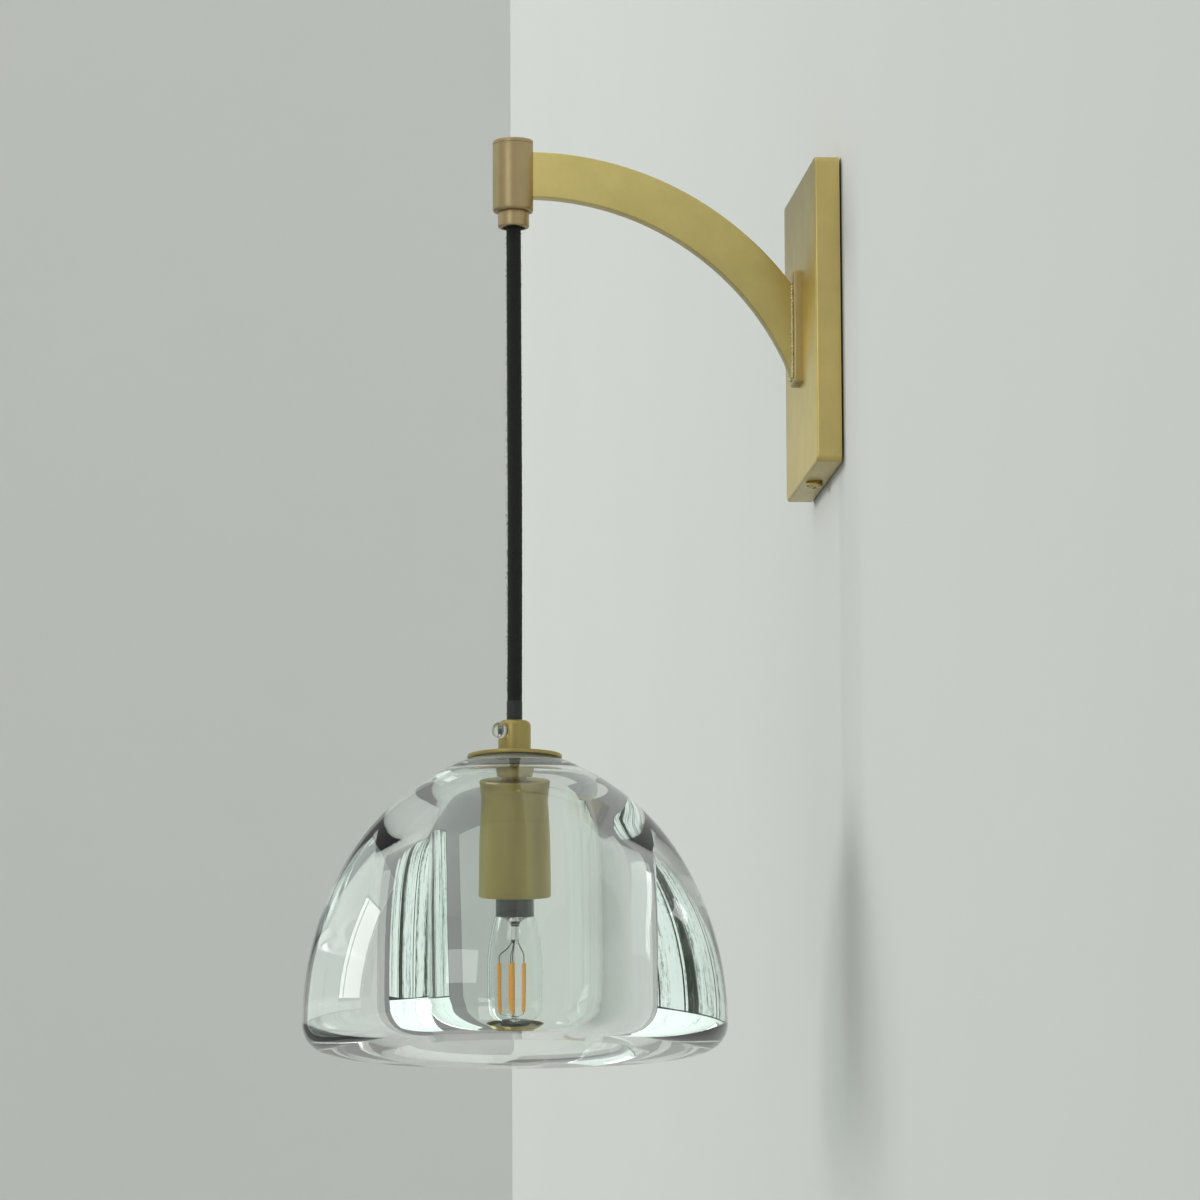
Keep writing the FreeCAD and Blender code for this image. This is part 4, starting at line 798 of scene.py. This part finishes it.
weld_low, weld_high = (Vector(c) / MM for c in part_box("weld_beads"))
weld = grown("weld_bead_drops", bpy.data.meshes.new("weld_seed"), bead_tree(), {
    "Length": (weld_high.z - weld_low.z - 1.0) * MM,
    "Count": 40,
    "Drop radius": 1.0 * MM,
    "Side": 4.5 * MM,
    "Depth": (weld_high.y - 0.45) * MM,
    "Foot": (weld_low.z + 1.0) * MM,
    "Material": brass_weld,
})
smoothed(weld.data, 180)
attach(weld, "wall_fixture")
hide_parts("weld_beads")
print("weld beads:", len(weld.data.polygons), "faces")

# %% [markdown]
# Hub, cap and ferrule are turned parts. The hub and its cap have one flat, where the arm is
# welded on, so a plane cuts them after they are turned. The cap is a separate lid: a fine
# seam under it shows in the photograph.


# %% Hub
def cut_flat(piece, y):
    """Slices off what lies beyond y and closes the cut."""
    shape = bmesh.new()
    shape.from_mesh(piece.data)
    everything = shape.verts[:] + shape.edges[:] + shape.faces[:]
    cut = bmesh.ops.bisect_plane(shape, geom=everything, plane_co=(0, y * MM, 0), plane_no=(0, 1, 0),
                                 clear_outer=True)
    edges = [item for item in cut["geom_cut"] if isinstance(item, bmesh.types.BMEdge)]
    bmesh.ops.holes_fill(shape, edges=edges)
    shape.to_mesh(piece.data)
    shape.free()
    smoothed(piece.data)


HUB = {"bore": 7.05, "inside": 8.0, "floor": 2.0, "round": 1.5, "seam": 0.12}
LID = {"plug": 7.9, "seam": 0.15, "round": 0.8}
hub_low, hub_high, hub_radius = levels("hub_shell")
cap_low, cap_high, _ = levels("hub_cap")
flat_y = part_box("hub_shell")[1][1] / MM
hub = turned("hub_barrel", [
    (HUB["bore"], hub_low),
    (hub_radius - HUB["round"], hub_low),
    *arc((hub_radius - HUB["round"], hub_low + HUB["round"]), HUB["round"], -80, -10, 4),
    (hub_radius, hub_low + HUB["round"]),
    (hub_radius, hub_high - HUB["seam"]),
    (hub_radius - HUB["seam"], hub_high),
    (HUB["inside"], hub_high),
    (HUB["inside"], hub_low + HUB["floor"]),
    (HUB["bore"], hub_low + HUB["floor"]),
], brass_hub, "wall_fixture", ["hub_shell"], edge=0.1, segments=128)
cut_flat(hub, flat_y)
cap_edge = hub_high + HUB["seam"]
cap = turned("hub_lid", [
    (0.0, cap_low),
    (LID["plug"], cap_low),
    (LID["plug"], hub_high),
    (hub_radius - LID["seam"], hub_high),
    (hub_radius, cap_edge),
    *arc((hub_radius - LID["round"], cap_high - LID["round"]), LID["round"], 0, 90, 5),
    (0.0, cap_high),
], brass_hub, "wall_fixture", ["hub_cap"], edge=0.08, segments=128)
cut_flat(cap, flat_y)
ferrule_low, ferrule_high, ferrule_radius = levels("cord_ferrule")
SEAT = {"pivot": 2.6, "radius": 6.1, "throat": 3.6, "spigot": 7.0, "edge": 0.9}
PIVOT = ferrule_low + SEAT["pivot"]
mouth_angle = math.degrees(math.asin(SEAT["pivot"] / SEAT["radius"]))
throat_angle = math.degrees(math.acos(SEAT["throat"] / SEAT["radius"]))
turned("ferrule", [
    *arc((0.0, PIVOT), SEAT["radius"], -mouth_angle, throat_angle, 10),
    (SEAT["throat"], ferrule_high),
    (SEAT["spigot"], ferrule_high),
    (SEAT["spigot"], hub_low),
    (ferrule_radius, hub_low),
    *arc((ferrule_radius - SEAT["edge"], ferrule_low + SEAT["edge"]), SEAT["edge"], 0, -90, 5),
], brass_hub, "wall_fixture", ["cord_ferrule"], edge=0.08, segments=128)

# %% [markdown]
# The cord is a round textile cord of 6.8 mm that the glass pulls tight. Its line is a NURBS
# spline through the two ends of the CAD tube, with two points between them that give the
# slight bow of the photograph. The braid on it is real thread: two families of helices that
# pass over and under each other, twelve each way.


# %% Cord
CORD_TOP, CORD_BOTTOM = PIVOT, levels("pendant_cord")[0]
CORD_RADIUS = 3.4
ROUTE = [
    (0.0, AXIS_Y, CORD_TOP),
    (0.0, AXIS_Y + 0.25, CORD_TOP - 85.0),
    (0.0, AXIS_Y + 0.45, CORD_TOP - 165.0),
    (0.0, AXIS_Y, CORD_BOTTOM),
]


def nurbs_curve(name, route, resolution=12):
    """A curve from the first point of a route to its last, drawn by the points between."""
    curve = bpy.data.curves.new(name, "CURVE")
    curve.dimensions = "3D"
    spline = curve.splines.new("NURBS")
    spline.points.add(len(route) - 1)
    for point, place in zip(spline.points, route):
        point.co = (*(c * MM for c in place), 1.0)
    spline.order_u = 3
    spline.use_endpoint_u = True
    spline.resolution_u = resolution
    return curve


def textile(name, colour, light):
    """Black yarn: nearly matt, with lighter worn fibres on top."""
    shader = Shader(name)
    yarn = shader.noise(shader.place(), 1.4, 4.0, 0.7)
    fibre = shader.noise(shader.place((1.0, 1.0, 0.35)), 7.0, 3.0, 0.7)
    tint = shader.blend((yarn * 0.5 + fibre * 0.9 - 0.45).clamped(0.0, 1.0), colour, light)
    return shader.plain(Base_Color=tint, Roughness=0.86, Sheen_Weight=0.1, Sheen_Roughness=0.4,
                        Normal=shader.bump(fibre, 0.12))


cord_textile = textile("cord_textile", (0.007, 0.008, 0.007), (0.026, 0.028, 0.025))
curve = nurbs_curve("cord", ROUTE, 24)
bare = placed("cord_line", curve.copy())
cord_line = [vertex.co.copy() for vertex in evaluated(bare).vertices]
bpy.data.objects.remove(bare)
curve.bevel_depth = (CORD_RADIUS - 0.15) * MM
curve.bevel_resolution = 8
curve.use_fill_caps = True
cord = placed("cord", curve)
curve.materials.append(cord_textile)
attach(cord, "pendant")
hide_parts("pendant_cord")
cord_length = sum((b - a).length for a, b in zip(cord_line, cord_line[1:]))
print("cord line", round(cord_length / MM, 1), "mm in", len(cord_line), "points")


# %% Braid
def line_at(distance):
    """The point of the cord's line at a distance from its top."""
    for a, b in zip(cord_line, cord_line[1:]):
        step = (b - a).length
        if distance <= step:
            return a.lerp(b, distance / step)
        distance -= step
    return cord_line[-1].copy()


THREADS, TURN_PER_MM, THREAD_STEP = 12, 2 * math.pi / 21.0, 0.95
THREAD_SECTION = ((-0.62, 0.0), (-0.3, 0.16), (0.3, 0.16), (0.62, 0.0), (0.0, -0.14))


def braid_mesh(name, start, end):
    """Threads wound both ways round the cord's line, waving over and under where they cross."""
    points, faces = [], []
    steps = int((end - start) / THREAD_STEP)
    lean = Vector((0, 0, -1)) * (1 / (TURN_PER_MM * CORD_RADIUS))
    for way, thread in ((way, thread) for way in (1, -1) for thread in range(THREADS)):
        rings = []
        for n in range(steps + 1):
            s = start + (end - start) * n / steps
            angle = way * TURN_PER_MM * s + 2 * math.pi * thread / THREADS
            wave = math.sin(THREADS * TURN_PER_MM * s + way * math.pi / 2 + thread * math.pi)
            out = Vector((math.cos(angle), math.sin(angle), 0))
            round_way = Vector((-math.sin(angle), math.cos(angle), 0)) * way
            across = (round_way + lean).normalized().cross(out).normalized()
            centre = line_at(s * MM) / MM + out * (CORD_RADIUS - 0.1 + 0.09 * wave)
            rings.append([tuple(centre + across * side + out * rise) for side, rise in THREAD_SECTION])
        thread_points, thread_faces = skin(rings, len(points))
        points += thread_points
        faces += thread_faces
    return mesh_from(name, points, faces)


cord_run = CORD_TOP - CORD_BOTTOM
braid = add_object("cord_braid", smoothed(braid_mesh("cord_braid", 2.0, cord_run - 0.5), 60), cord_textile)
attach(braid, "pendant")
print("braid:", len(braid.data.polygons), "faces")

# %% [markdown]
# The textile is a little fluffy: single fibres stand off it all along. A tree scatters points
# over the braid and sets a fine bent hair on each.


# %% Lint
FIBRE_RADIUS = 0.11
FIBRE_STATIONS = ((0.0, 0.0, 1.0), (0.4, 0.06, 0.8), (0.75, 0.2, 0.55), (1.0, 0.42, 0.1))


def hair_mesh():
    """One tapering bent fibre along Z, three sided; each station is (height, bow, thickness)."""
    rings = []
    for reach, bow, thick in FIBRE_STATIONS:
        radius = thick * FIBRE_RADIUS
        rings.append([(bow + radius * math.cos(a), radius * math.sin(a), reach) for a in (0, 2.1, 4.2)])
    return mesh_from("fibre", *skin(rings))


def lint_tree():
    """Fibres on random points of a surface, each leaning its own way."""
    lint = Grower("lint", [("Density", "Float"), ("Fibre", "Object"), ("Seed", "Int"),
                           ("Material", "Material")])
    scattered = lint.node("GeometryNodeDistributePointsOnFaces", {}, Mesh=lint["Geometry"],
                          Density=lint["Density"], Seed=lint["Seed"])
    fibre = lint.node("GeometryNodeObjectInfo", {}, out="Geometry", Object=lint["Fibre"])
    size = lint.node("FunctionNodeRandomValue", {"data_type": "FLOAT"}, None, None, 0.3, 1.1, out=1, Seed=5)
    lean = lint.chance(6, (-1.1, -1.1, -3.1), (1.1, 1.1, 3.1))
    way = lint.node("FunctionNodeRotateRotation", {"rotation_space": "LOCAL"}, scattered.beside("Rotation"),
                    lean)
    return lint.end_painted(lint.node("GeometryNodeInstanceOnPoints", {}, Points=scattered, Instance=fibre,
                                      Rotation=way, Scale=size))


fibre_object = bpy.data.objects.new("fibre", hair_mesh())
lint_ground = turned_mesh("lint_ground",
                          ring_section(0.0, CORD_RADIUS, CORD_BOTTOM + 8.0, CORD_TOP - 5.0), 24)
lint = grown("cord_lint", lint_ground, lint_tree(), {
    "Density": 800000.0,
    "Fibre": fibre_object,
    "Seed": 4,
    "Material": cord_textile,
})
bpy.data.objects.remove(fibre_object)
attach(lint, "pendant")
print("lint:", len(lint.data.polygons), "faces")

# %% [markdown]
# Below the cord come the sleeve, the grip, the discs, the nut, the stepped collar and the
# cup. They are one stack of turned parts on a threaded tube. Each takes its levels from its
# CAD node, so they sit face on face.


# %% Sleeve and grip
def plastic(name, colour, roughness, depth=0.02, coat=0.0):
    """Moulded plastic or rubber with a fine, slightly uneven skin."""
    shader = Shader(name)
    skin = shader.noise(shader.place(), 1.8, 3.0)
    cloud = shader.noise(shader.place(), 0.08, 2.0)
    tint = shader.blend(cloud * 0.3, colour, tuple(0.8 * c for c in colour))
    return shader.plain(Base_Color=tint, Roughness=(skin * 0.12 + (roughness - 0.06)), Coat_Weight=coat,
                        Normal=shader.bump(skin, depth))


sleeve_black = plastic("sleeve_black", (0.019, 0.021, 0.021), 0.5)
sleeve_low, sleeve_high, sleeve_radius = levels("cord_sleeve")
heat_shrink = turned("heat_shrink", ring_section(CORD_RADIUS, sleeve_radius, sleeve_low, sleeve_high),
                     sleeve_black, "pendant", ["cord_sleeve"], edge=0.12)
THREAD_HOLE, PLAIN_HOLE = 5.05, 5.2
GRIP = {"round": 2.6, "cord": 3.8, "cord_depth": 6.0, "leads": 2.8, "web": 8.6, "screw_level": 10.4,
        "screw": 2.05}
grip_low, grip_high, grip_radius = levels("cord_grip")
grip = turned("grip_barrel", [
    (THREAD_HOLE, grip_low),
    (grip_radius, grip_low),
    *arc((grip_radius - GRIP["round"], grip_high - GRIP["round"]), GRIP["round"], 0, 90, 8),
    (GRIP["cord"], grip_high),
    (GRIP["cord"], grip_high - GRIP["cord_depth"]),
    (GRIP["leads"], grip_high - GRIP["cord_depth"]),
    (GRIP["leads"], grip_high - GRIP["web"]),
    (THREAD_HOLE, grip_high - GRIP["web"]),
], brass_turned, "pendant", ["cord_grip"], edge=0.15, segments=128)


def drilled(piece, start, along, radius, length):
    """A round hole through one wall of a piece, made with a boolean that is then applied."""
    drill = bmesh.new()
    bmesh.ops.create_cone(drill, cap_ends=True, segments=32, radius1=radius * MM, radius2=radius * MM,
                          depth=length * MM)
    direction = Vector(along).normalized()
    place = Matrix.Translation((Vector(start) + direction * length / 2) * MM)
    bmesh.ops.transform(drill, verts=drill.verts,
                        matrix=place @ direction.to_track_quat("Z", "Y").to_matrix().to_4x4())
    mesh = bpy.data.meshes.new("drill")
    drill.to_mesh(mesh)
    drill.free()
    tool = add_object("drill", mesh)
    modifier = piece.modifiers.new("hole", "BOOLEAN")
    modifier.operation, modifier.object, modifier.solver = "DIFFERENCE", tool, "EXACT"
    made = evaluated(piece)
    piece.modifiers.clear()
    piece.data = smoothed(made)
    bpy.data.objects.remove(tool)


drilled(grip, (0, AXIS_Y, grip_low + GRIP["screw_level"]), (1, -1, 0), GRIP["screw"], 12.0)
print("grip drilled for its clamp screw")


# %% Discs, nut, collar and cup
def disc_piece(name, node):
    """One of the two brass discs that hold the glass between them."""
    low, high, radius = levels(node)
    turned(name, ring_section(PLAIN_HOLE, radius, low, high), brass_turned, "pendant", [node], edge=0.7,
           segments=160)


disc_piece("disc_above", "upper_disc")
disc_piece("disc_below", "lower_disc")
PRESSED_IN = 0.12
for name, below, above in (("upper_gasket", PRESSED_IN, 0.0), ("lower_gasket", 0.0, PRESSED_IN)):
    low, high, radius = levels(name)
    turned(name + "_ring", ring_section(PLAIN_HOLE, radius, low - below, high + above), gasket_clear,
           "pendant", [name], edge=0.05)
collar_low, collar_high, collar_radius = levels("cup_collar")
NECK_RADIUS, NECK_HEIGHT = 6.0, 3.2
turned("stepped_collar", [
    (THREAD_HOLE, collar_low),
    (NECK_RADIUS, collar_low),
    (NECK_RADIUS, collar_low + NECK_HEIGHT),
    (collar_radius, collar_low + NECK_HEIGHT),
    (collar_radius, collar_high),
    (THREAD_HOLE, collar_high),
], brass_turned, "pendant", ["cup_collar"], edge=0.4)
cup_low, cup_high, cup_radius = levels("lamp_cup")
CUP = {"top": 2.0, "wall": 1.2, "round": 2.0, "round_inside": 0.8, "screw_depth": 7.6, "screw": 1.22}
round_centre = cup_radius - CUP["round"]
cup = turned("bulb_cup", [
    (PLAIN_HOLE, cup_high - CUP["top"]),
    *arc((round_centre, cup_high - CUP["top"] - CUP["round_inside"]), CUP["round_inside"], 90, 0, 5),
    (cup_radius - CUP["wall"], cup_low),
    (cup_radius, cup_low),
    *arc((round_centre, cup_high - CUP["round"]), CUP["round"], 0, 90, 8),
    (PLAIN_HOLE, cup_high),
], brass_cup, "pendant", ["lamp_cup"], edge=0.3, segments=160)
drilled(cup, (0, AXIS_Y, cup_high - CUP["screw_depth"]), (1, 0, 0), CUP["screw"], 20.0)

# %% [markdown]
# The threaded tube is seen through the glass between the discs, so it has its thread: the
# radius falls and rises once for each millimetre along it, and the wave climbs with the
# angle, which makes it a helix.


# %% Threaded tube
def thread_section(inner, outer, low, high, pitch=1.0, depth=0.55, rows_per_turn=4):
    """The section of a threaded tube as a function of the share of the turn."""
    rows = int((high - low) / pitch * rows_per_turn)
    heights = [low + (high - low) * row / rows for row in range(rows + 1)]

    def section(share):
        crests = [(outer - depth * abs(2 * ((z / pitch - share) % 1.0) - 1), z) for z in heights]
        return [(inner, low), *crests, (inner, high)]

    return section


TUBE_BORE = 3.0
tube_low, tube_high, tube_radius = levels("threaded_nipple")
thread = turned_mesh("threaded_tube", thread_section(TUBE_BORE, tube_radius, tube_low, tube_high), 40)
tube = add_object("threaded_tube", smoothed(thread, 20), brass_bright)
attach(tube, "pendant")
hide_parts("threaded_nipple")
print("thread:", len(tube.data.polygons), "faces")

# %% [markdown]
# The bulb is a small clear tube with four yellow sticks in it. Its glass is thin, so it is a
# closed shell with an inner and an outer face, and the sticks have round ends.

# %% Bulb glass
envelope_low, envelope_high, envelope_radius = levels("bulb_envelope")
collar_bottom, collar_top, bulb_collar_radius = levels("bulb_collar")
BULB = {"neck": 9.3, "shoulder": 19.0, "glass": 0.7}
swell = envelope_radius - BULB["neck"]
shoulder_radius = (BULB["shoulder"] ** 2 + swell ** 2) / (2 * swell)
shoulder_turn = math.degrees(math.asin(BULB["shoulder"] / shoulder_radius))
shoulder_centre = (envelope_radius - shoulder_radius, envelope_high - BULB["shoulder"])
end_centre = (0.0, envelope_low + envelope_radius)
envelope_section = arc(shoulder_centre, shoulder_radius, shoulder_turn, 0, 24)
envelope_section += arc(end_centre, envelope_radius, 0, -90, 24)
envelope_section += arc(end_centre, envelope_radius - BULB["glass"], -90, 0, 24)
envelope_section += arc(shoulder_centre, shoulder_radius - BULB["glass"], 0, shoulder_turn, 24)
turned("bulb_glass", envelope_section, envelope_glass, "bulb", ["bulb_envelope"], edge=0, segments=128,
       angle=60.0)


# %% Bulb inside
def metal(name, colour, roughness, grain=1.4):
    """Plain metal with a fine even grain."""
    shader = Shader(name)
    fine = shader.noise(shader.place(), grain, 3.0)
    tint = shader.blend(fine * 0.35, colour, tuple(0.7 * c for c in colour))
    return shader.plain(Base_Color=tint, Metallic=1.0, Roughness=(fine * 0.12 + (roughness - 0.06)),
                        Normal=shader.bump(fine, 0.01))


def phosphor():
    """Yellow silicone over the light chips, with the row of chips faintly darker under it, and a faint
    painted glow in the same yellow.
    """
    shader = Shader("filament_phosphor")
    fine = shader.noise(shader.place(), 1.5, 2.0)
    chips = (shader.place().axis(2) * 0.9).fraction().above(0.55)
    tint = shader.blend(fine * 0.4 + chips * 0.25, (0.86, 0.42, 0.045), (0.62, 0.24, 0.02))
    # Painted glow: the yellow also glows faintly, at strength 0.25.
    return shader.plain(Base_Color=tint, Roughness=0.45, Emission_Color=tint, Emission_Strength=0.25,
                        Normal=shader.bump(fine, 0.04))


nickel = metal("nickel_grey", (0.12, 0.12, 0.115), 0.16)
filament_yellow_glow = phosphor()
FILAMENT_RADIUS = 1.0
filament_low, filament_high = (Vector(c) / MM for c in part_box("led_filaments"))
stick_side = (filament_high.x - filament_low.x) / 2 - FILAMENT_RADIUS
stick_middle = (filament_low + filament_high) / 2


def stick_section(radius, low, high):
    return arc((0.0, low + radius), radius, -90, 0, 5) + arc((0.0, high - radius), radius, 0, 90, 5)


def joined(name, meshes):
    """Several meshes as one."""
    shape = bmesh.new()
    for mesh in meshes:
        shape.from_mesh(mesh)
    whole = bpy.data.meshes.new(name)
    shape.to_mesh(whole)
    shape.free()
    return whole


stick_places = [(stick_middle.x + sx * stick_side, stick_middle.y + sy * stick_side)
                for sx, sy in ((1, 0), (0, 1), (-1, 0), (0, -1))]
sticks = joined("filament_sticks", [
    turned_mesh("stick", stick_section(FILAMENT_RADIUS, filament_low.z, filament_high.z), 20, centre)
    for centre in stick_places
])
stick_piece = add_object("filament_sticks", smoothed(sticks), filament_yellow_glow)
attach(stick_piece, "bulb")
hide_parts("led_filaments")
SKIRT = {"inside": 7.9, "hole": 6.4, "top": 1.4, "round": 0.8}
turned("bulb_skirt", [
    (SKIRT["inside"], collar_bottom),
    (bulb_collar_radius, collar_bottom),
    *arc((bulb_collar_radius - SKIRT["round"], collar_top - SKIRT["round"]), SKIRT["round"], 0, 90, 4),
    (SKIRT["hole"], collar_top),
    (SKIRT["hole"], collar_top - SKIRT["top"]),
    (SKIRT["inside"], collar_top - SKIRT["top"]),
], nickel, "bulb", ["bulb_collar"], edge=0.15)
print("bulb inside ready")

# %% [markdown]
# The glass stem is a flare that narrows to a rod, and fine wires spread from its foot to the
# sticks: first out and up a little, then down, which gives the crooked V of the photograph.


# %% Stem and wires
def wire_mesh(name, points, radius, sides=8):
    """A thin round wire through a few points, with its corners rounded by a spline."""
    data = nurbs_curve(name, points)
    data.bevel_depth, data.bevel_resolution, data.use_fill_caps = radius * MM, sides // 4, True
    holder = placed(name, data)
    mesh = evaluated(holder)
    bpy.data.objects.remove(holder)
    return mesh


STEM = {"rod": 1.8, "tip": 0.6, "rim": 0.1}
FLARE = ((STEM["rod"], 3.4), (2.6, 2.2), (4.6, 1.0))
SPREAD = {"foot": 0.9, "foot_rise": 1.2, "knee": 2.6, "knee_drop": 1.4, "bend_rise": 2.6, "head_sink": 0.4,
          "wire": 0.22}
LOW_LINK = {"end_rise": 0.3, "ring_drop": 1.4, "sag": 1.2, "wire": 0.2}
stem_low, stem_high, stem_radius = levels("bulb_stem")
turned("glass_stem", [
    (0.0, stem_low),
    *arc((STEM["rod"] - STEM["tip"], stem_low + STEM["tip"]), STEM["tip"], -90, 0, 4),
    *((radius, stem_high - drop) for radius, drop in FLARE),
    (stem_radius, stem_high - STEM["rim"]),
    (stem_radius, stem_high),
    (0.0, stem_high),
], envelope_glass, "bulb", ["bulb_stem"], edge=0.1, segments=48, angle=60.0)
spread = []
for n, (x, y) in enumerate(stick_places):
    side = Vector((x, y - AXIS_Y, 0))
    out = side.normalized()
    foot = Vector((out.x * SPREAD["foot"], AXIS_Y + out.y * SPREAD["foot"], stem_low + SPREAD["foot_rise"]))
    knee = Vector((out.x * SPREAD["knee"], AXIS_Y + out.y * SPREAD["knee"], stem_low - SPREAD["knee_drop"]))
    bend = Vector((x, y, filament_high.z + SPREAD["bend_rise"]))
    head = Vector((x, y, filament_high.z - SPREAD["head_sink"]))
    spread.append(wire_mesh("spread", [foot, knee, bend, bend.lerp(head, 0.6), head], SPREAD["wire"]))
ends = [Vector((x, y, filament_low.z + LOW_LINK["end_rise"])) for x, y in stick_places]
low_ring = Vector((stick_middle.x, stick_middle.y, filament_low.z - LOW_LINK["ring_drop"]))
sagging = [end.lerp(low_ring, 0.5) - Vector((0, 0, LOW_LINK["sag"])) for end in ends]
for first, second in ((0, 1), (2, 3)):
    link = [ends[first], sagging[first], sagging[second], ends[second]]
    spread.append(wire_mesh("low_link", link, LOW_LINK["wire"]))
wires = add_object("support_wire_set", smoothed(joined("support_wire_set", spread), 180), nickel)
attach(wires, "bulb")
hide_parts("support_wires")
print("support wires:", len(wires.data.polygons), "faces")

# %% [markdown]
# The smaller CAD pieces keep their CAD shape. Their mesh is made of loose triangles, so a
# merged copy stands in for each where it shows, with smooth sides and sharp rims, and the
# hidden ones only get their finish.


# %% Small pieces
def dressed(node, name, material, body, angle=35.0):
    """A merged, smoothly shaded copy of a CAD node with its own finish."""
    mesh = frame["nodes"][node].data.copy()
    shape = bmesh.new()
    shape.from_mesh(mesh)
    bmesh.ops.remove_doubles(shape, verts=shape.verts, dist=2e-6)
    shape.to_mesh(mesh)
    shape.free()
    piece = add_object(name, smoothed(mesh, angle), material)
    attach(piece, body)
    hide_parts(node)
    return piece


dressed("clamp_screw", "nylon_screw", nylon_clear, "clamp_screw")
dressed("cover_screws", "pan_head_screws", brass_bright, "wall_fixture")
dressed("lock_nut", "hexagon_nut", brass_turned, "pendant")
steel = metal("zinc_steel", (0.60, 0.61, 0.63), 0.36)
white_plastic = plastic("white_plastic", (0.78, 0.78, 0.74), 0.42)
black_plastic = plastic("black_plastic", (0.02, 0.02, 0.02), 0.5)
dark_bead = plastic("insulator_bead", (0.03, 0.03, 0.04), 0.2, coat=0.5)
WIRE_COLOURS = {"live": (0.20, 0.08, 0.03), "neutral": (0.02, 0.09, 0.36), "earth": (0.10, 0.30, 0.04)}
FINISHES = [
    (steel, "wall_bracket foot_screws earth_screw"),
    (white_plastic, "terminal_block cord_anchor holder_cap holder_body"),
    (black_plastic, "swing_bush"),
    (brass_bright, "terminal_screws ferrule_nut cup_set_screw screw_shell centre_contact bulb_contact"),
    (cord_textile, "cord_tail"),
    (nickel, "bulb_cap"),
    (dark_bead, "bulb_insulator"),
]
for core, colour in WIRE_COLOURS.items():
    FINISHES.append((plastic(f"{core}_insulation", colour, 0.35), f"arm_wire_{core} pendant_lead_{core}"))
finish_of = {node: material for material, nodes in FINISHES for node in nodes.split()}
for node, material in finish_of.items():
    item = frame["nodes"][node]
    for number in range(max(1, len(item.material_slots))):
        if not item.material_slots:
            item.data.materials.append(material)
        item.material_slots[number].material = material
print(len(finish_of), "CAD pieces given a finish")

# %% [markdown]
# Each visible piece's first finish is looked up in a table of the record's finishes, and
# the pieces found there are counted.

# %% Finishes by name
SLOTS = dict.fromkeys(("brass_arm", "brass_plate", "brass_pad", "brass_hub", "brass_turned", "brass_cup",
                       "brass_weld"), "satin_brass")
SLOTS |= {"brass_bright": "brass_screws", "cord_textile": "black_textile", "sleeve_black": "black_sleeve",
          "shade_glass": "clear_glass", "envelope_glass": "bulb_glass", "gasket_clear": "clear_gasket",
          "nylon_clear": "clear_nylon", "nickel_grey": "nickel", "filament_phosphor": "filament"}
named = 0
for piece in bpy.context.scene.objects:
    finishes = [m.name for m in piece.data.materials if m] if piece.type in {"MESH", "CURVE"} else []
    if finishes and piece.name not in frame["nodes"] and finishes[0] in SLOTS:
        named += 1
print(named, "pieces name their finish")
